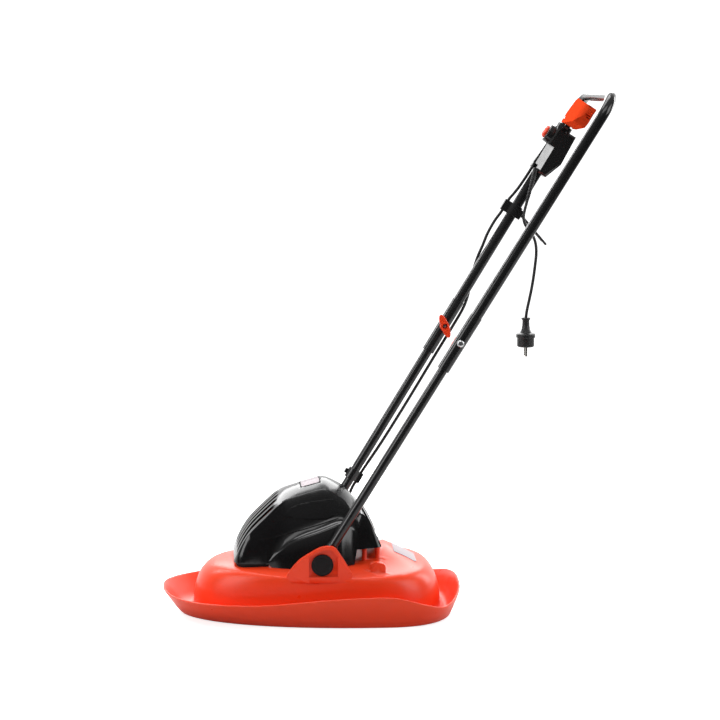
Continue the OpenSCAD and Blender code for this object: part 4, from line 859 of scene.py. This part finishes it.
# Blank plate in the recess of the rear ramp, drawn above the deck and pressed down onto it
RAMP_MIDDLE = 184.0
RAMP_PLATE = (47.0, 81.0)
RAMP_CORNER = 5 * MM
RAMP_STEP = 6 * MM
RAMP_HEIGHT = 0.9 * MM
RAMP_EDGE = 0.4 * MM
ABOVE_DECK = 0.3
plate_x = (RAMP_MIDDLE - RAMP_PLATE[0] / 2, RAMP_MIDDLE + RAMP_PLATE[0] / 2)
plate_y = (-RAMP_PLATE[1] / 2, RAMP_PLATE[1] / 2)
ramp_plate = drawn_face("ramp_plate", [
    Vector((x * MM, y * MM, ABOVE_DECK))
    for x, y in ((plate_x[0], plate_y[0]), (plate_x[1], plate_y[0]),
                 (plate_x[1], plate_y[1]), (plate_x[0], plate_y[1]))
])
bpy.ops.mesh.bevel(offset=RAMP_CORNER, segments=5, affect="VERTICES")
slice_across(0, plate_x[0] * MM, plate_x[1] * MM, RAMP_STEP)
slice_across(1, plate_y[0] * MM, plate_y[1] * MM, RAMP_STEP)
lay_on(ramp_plate, finished["hover_deck"], "Z", -1, RAMP_HEIGHT, RAMP_EDGE)
fit(ramp_plate, "deck", "badge_silver")

# Dark frame round the badge's blank plate, with a bar along its middle, made from the plate's top faces
FRAME_WIDTH = 2.0 * MM
FRAME_HEIGHT = 0.5 * MM
FACING_UP = 0.7


def make_badge_frame():
    piece = own_copy(finished["badge_plate"], "badge_frame")
    top = [face.index for face in piece.data.polygons if face.normal.z > FACING_UP]
    to_edit()
    select_in_edit(piece, "FACE", top)
    bpy.ops.mesh.select_all(action="INVERT")
    bpy.ops.mesh.delete(type="FACE")
    for bar_side in (1, -1):
        select_whole()
        bpy.ops.mesh.bisect(plane_co=(0, bar_side * FRAME_WIDTH / 2, 0), plane_no=(0, 1, 0))
    select_whole()
    bpy.ops.mesh.inset(thickness=FRAME_WIDTH, depth=0.0, use_boundary=True)
    to_object()
    for face in piece.data.polygons:
        face.select = face.select and abs(face.center.y) > FRAME_WIDTH / 2
    to_edit()
    bpy.ops.mesh.delete(type="FACE")
    to_object()
    add_wall(piece, FRAME_HEIGHT)
    apply_all(piece)
    shade(NEW_SMOOTH)
    fit(piece, "deck", "black_plastic")
    paint(piece, "black_matte")


make_badge_frame()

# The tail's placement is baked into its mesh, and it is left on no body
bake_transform(tail)
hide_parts("cable_tail")

# Coil spring under the lock-off button
BUTTON_S = 962.0
SPRING_FOOT = 11.3
SPRING_TOP = 17.4
SPRING_R = 6.3
SPRING_WIRE = 1.3
SPRING_TURNS = 3.5
SPRING_STEPS = 84
coil_rise = SPRING_TOP - SPRING_FOOT - SPRING_WIRE
coil_route = []
for i in range(SPRING_STEPS + 1):
    turn = 2 * math.pi * SPRING_TURNS * i / SPRING_STEPS
    out = SPRING_FOOT + SPRING_WIRE / 2 + coil_rise * i / SPRING_STEPS
    coil_route.append(leg_point(-out, SPRING_R * math.cos(turn), BUTTON_S + SPRING_R * math.sin(turn)))
spring = round_cable("button_spring_coil", coil_route, SPRING_WIRE * MM)
fit(spring, "handle", slot_of["button_spring"])
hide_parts("button_spring")
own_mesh(spring)

# Studio

FLOOR_FRONT = -0.95
FLOOR_REAR = 1.6
FLOOR_HALF = 1.7
FLOOR_DROP = 0.5 * MM
FLOOR_GREY = (0.62, 0.62, 0.62, 1.0)
FLOOR_ROUGHNESS = 0.6
FLOOR_GLOW = 0.75
BACK_WALL = 1.35
BACK_FADE = (0.1, 0.7)
CEILING = 0.45
CEILING_FADE = (0.15, 0.8)
FRONT_WALL = 0.04


def make_floor():
    bpy.ops.object.select_all(action="DESELECT")
    bpy.ops.mesh.primitive_plane_add(size=1.0)
    floor = bpy.context.active_object
    floor.name = "studio_floor"
    floor.scale = (2 * FLOOR_HALF, FLOOR_REAR - FLOOR_FRONT, 1.0)
    floor.location = (0.0, (FLOOR_REAR + FLOOR_FRONT) / 2, -FLOOR_DROP)
    bpy.ops.object.transform_apply(location=True, rotation=True, scale=True)
    finish = bpy.data.materials.new("studio_floor")
    finish.use_nodes = True
    tree = finish.node_tree
    shader = tree.nodes["Principled BSDF"]
    shader.inputs["Base Color"].default_value = FLOOR_GREY
    shader.inputs["Roughness"].default_value = FLOOR_ROUGHNESS
    shader.inputs["Emission Color"].default_value = WHITE
    seen = tree.nodes.new("ShaderNodeLightPath")
    glow = math_node(tree, "MULTIPLY", seen.outputs["Is Camera Ray"], FLOOR_GLOW)
    tree.links.new(glow, shader.inputs["Emission Strength"])
    floor.data.materials.append(finish)


def softbox(name, place, aim, size, power):
    light = bpy.data.lights.new(name, "AREA")
    light.shape = "RECTANGLE"
    light.size, light.size_y = size
    light.energy = power
    lamp = link_new(name, light)
    lamp.location = place
    lamp.rotation_euler = (Vector(place) - Vector(aim)).to_track_quat("Z", "Y").to_euler()


def make_studio_walls():
    """White for what the camera sees, and for the rest bright behind, softer above and dark in front."""
    world = bpy.data.worlds.new("white_studio")
    bpy.context.scene.world = world
    world.use_nodes = True
    tree = world.node_tree
    wall = tree.nodes["Background"]
    place = tree.nodes.new("ShaderNodeTexCoord")
    axes = tree.nodes.new("ShaderNodeSeparateXYZ")
    tree.links.new(place.outputs["Generated"], axes.inputs["Vector"])
    behind = remap(tree, axes.outputs["Y"], 0.0, BACK_WALL, BACK_FADE)
    above = remap(tree, axes.outputs["Z"], FRONT_WALL, CEILING, CEILING_FADE)
    bounce = math_node(tree, "MAXIMUM", behind, above)
    seen = tree.nodes.new("ShaderNodeLightPath")
    brightness = math_node(tree, "MAXIMUM", bounce, seen.outputs["Is Camera Ray"])
    tree.links.new(brightness, wall.inputs["Strength"])
    wall.inputs["Color"].default_value = WHITE


make_floor()
softbox("top_softbox", (0.1, 2.3, 1.95), aim=(0.05, 0.0, 0.2), size=(3.0, 1.6), power=75)
softbox("left_softbox", (-3.4, -1.6, 1.5), aim=(0.0, 0.0, 0.2), size=(2.0, 2.0), power=50)
softbox("right_softbox", (3.4, -1.6, 1.5), aim=(0.1, 0.0, 0.3), size=(2.0, 2.0), power=46)
softbox("overhead_softbox", (-0.2, 0.5, 3.3), aim=(0.0, 0.0, 0.2), size=(2.4, 1.2), power=50)
softbox("left_strip", (-2.1, 1.05, 2.25), aim=(0.3, 0.1, 0.6), size=(0.5, 1.4), power=26)
softbox("right_strip", (2.7, 1.4, 1.3), aim=(0.1, 0.0, 0.2), size=(0.7, 1.6), power=26)
softbox("front_softbox", (0.0, -3.0, 3.9), aim=(0.05, 0.0, 0.1), size=(3.0, 1.6), power=34)
make_studio_walls()
bpy.context.scene.view_settings.view_transform = "Standard"
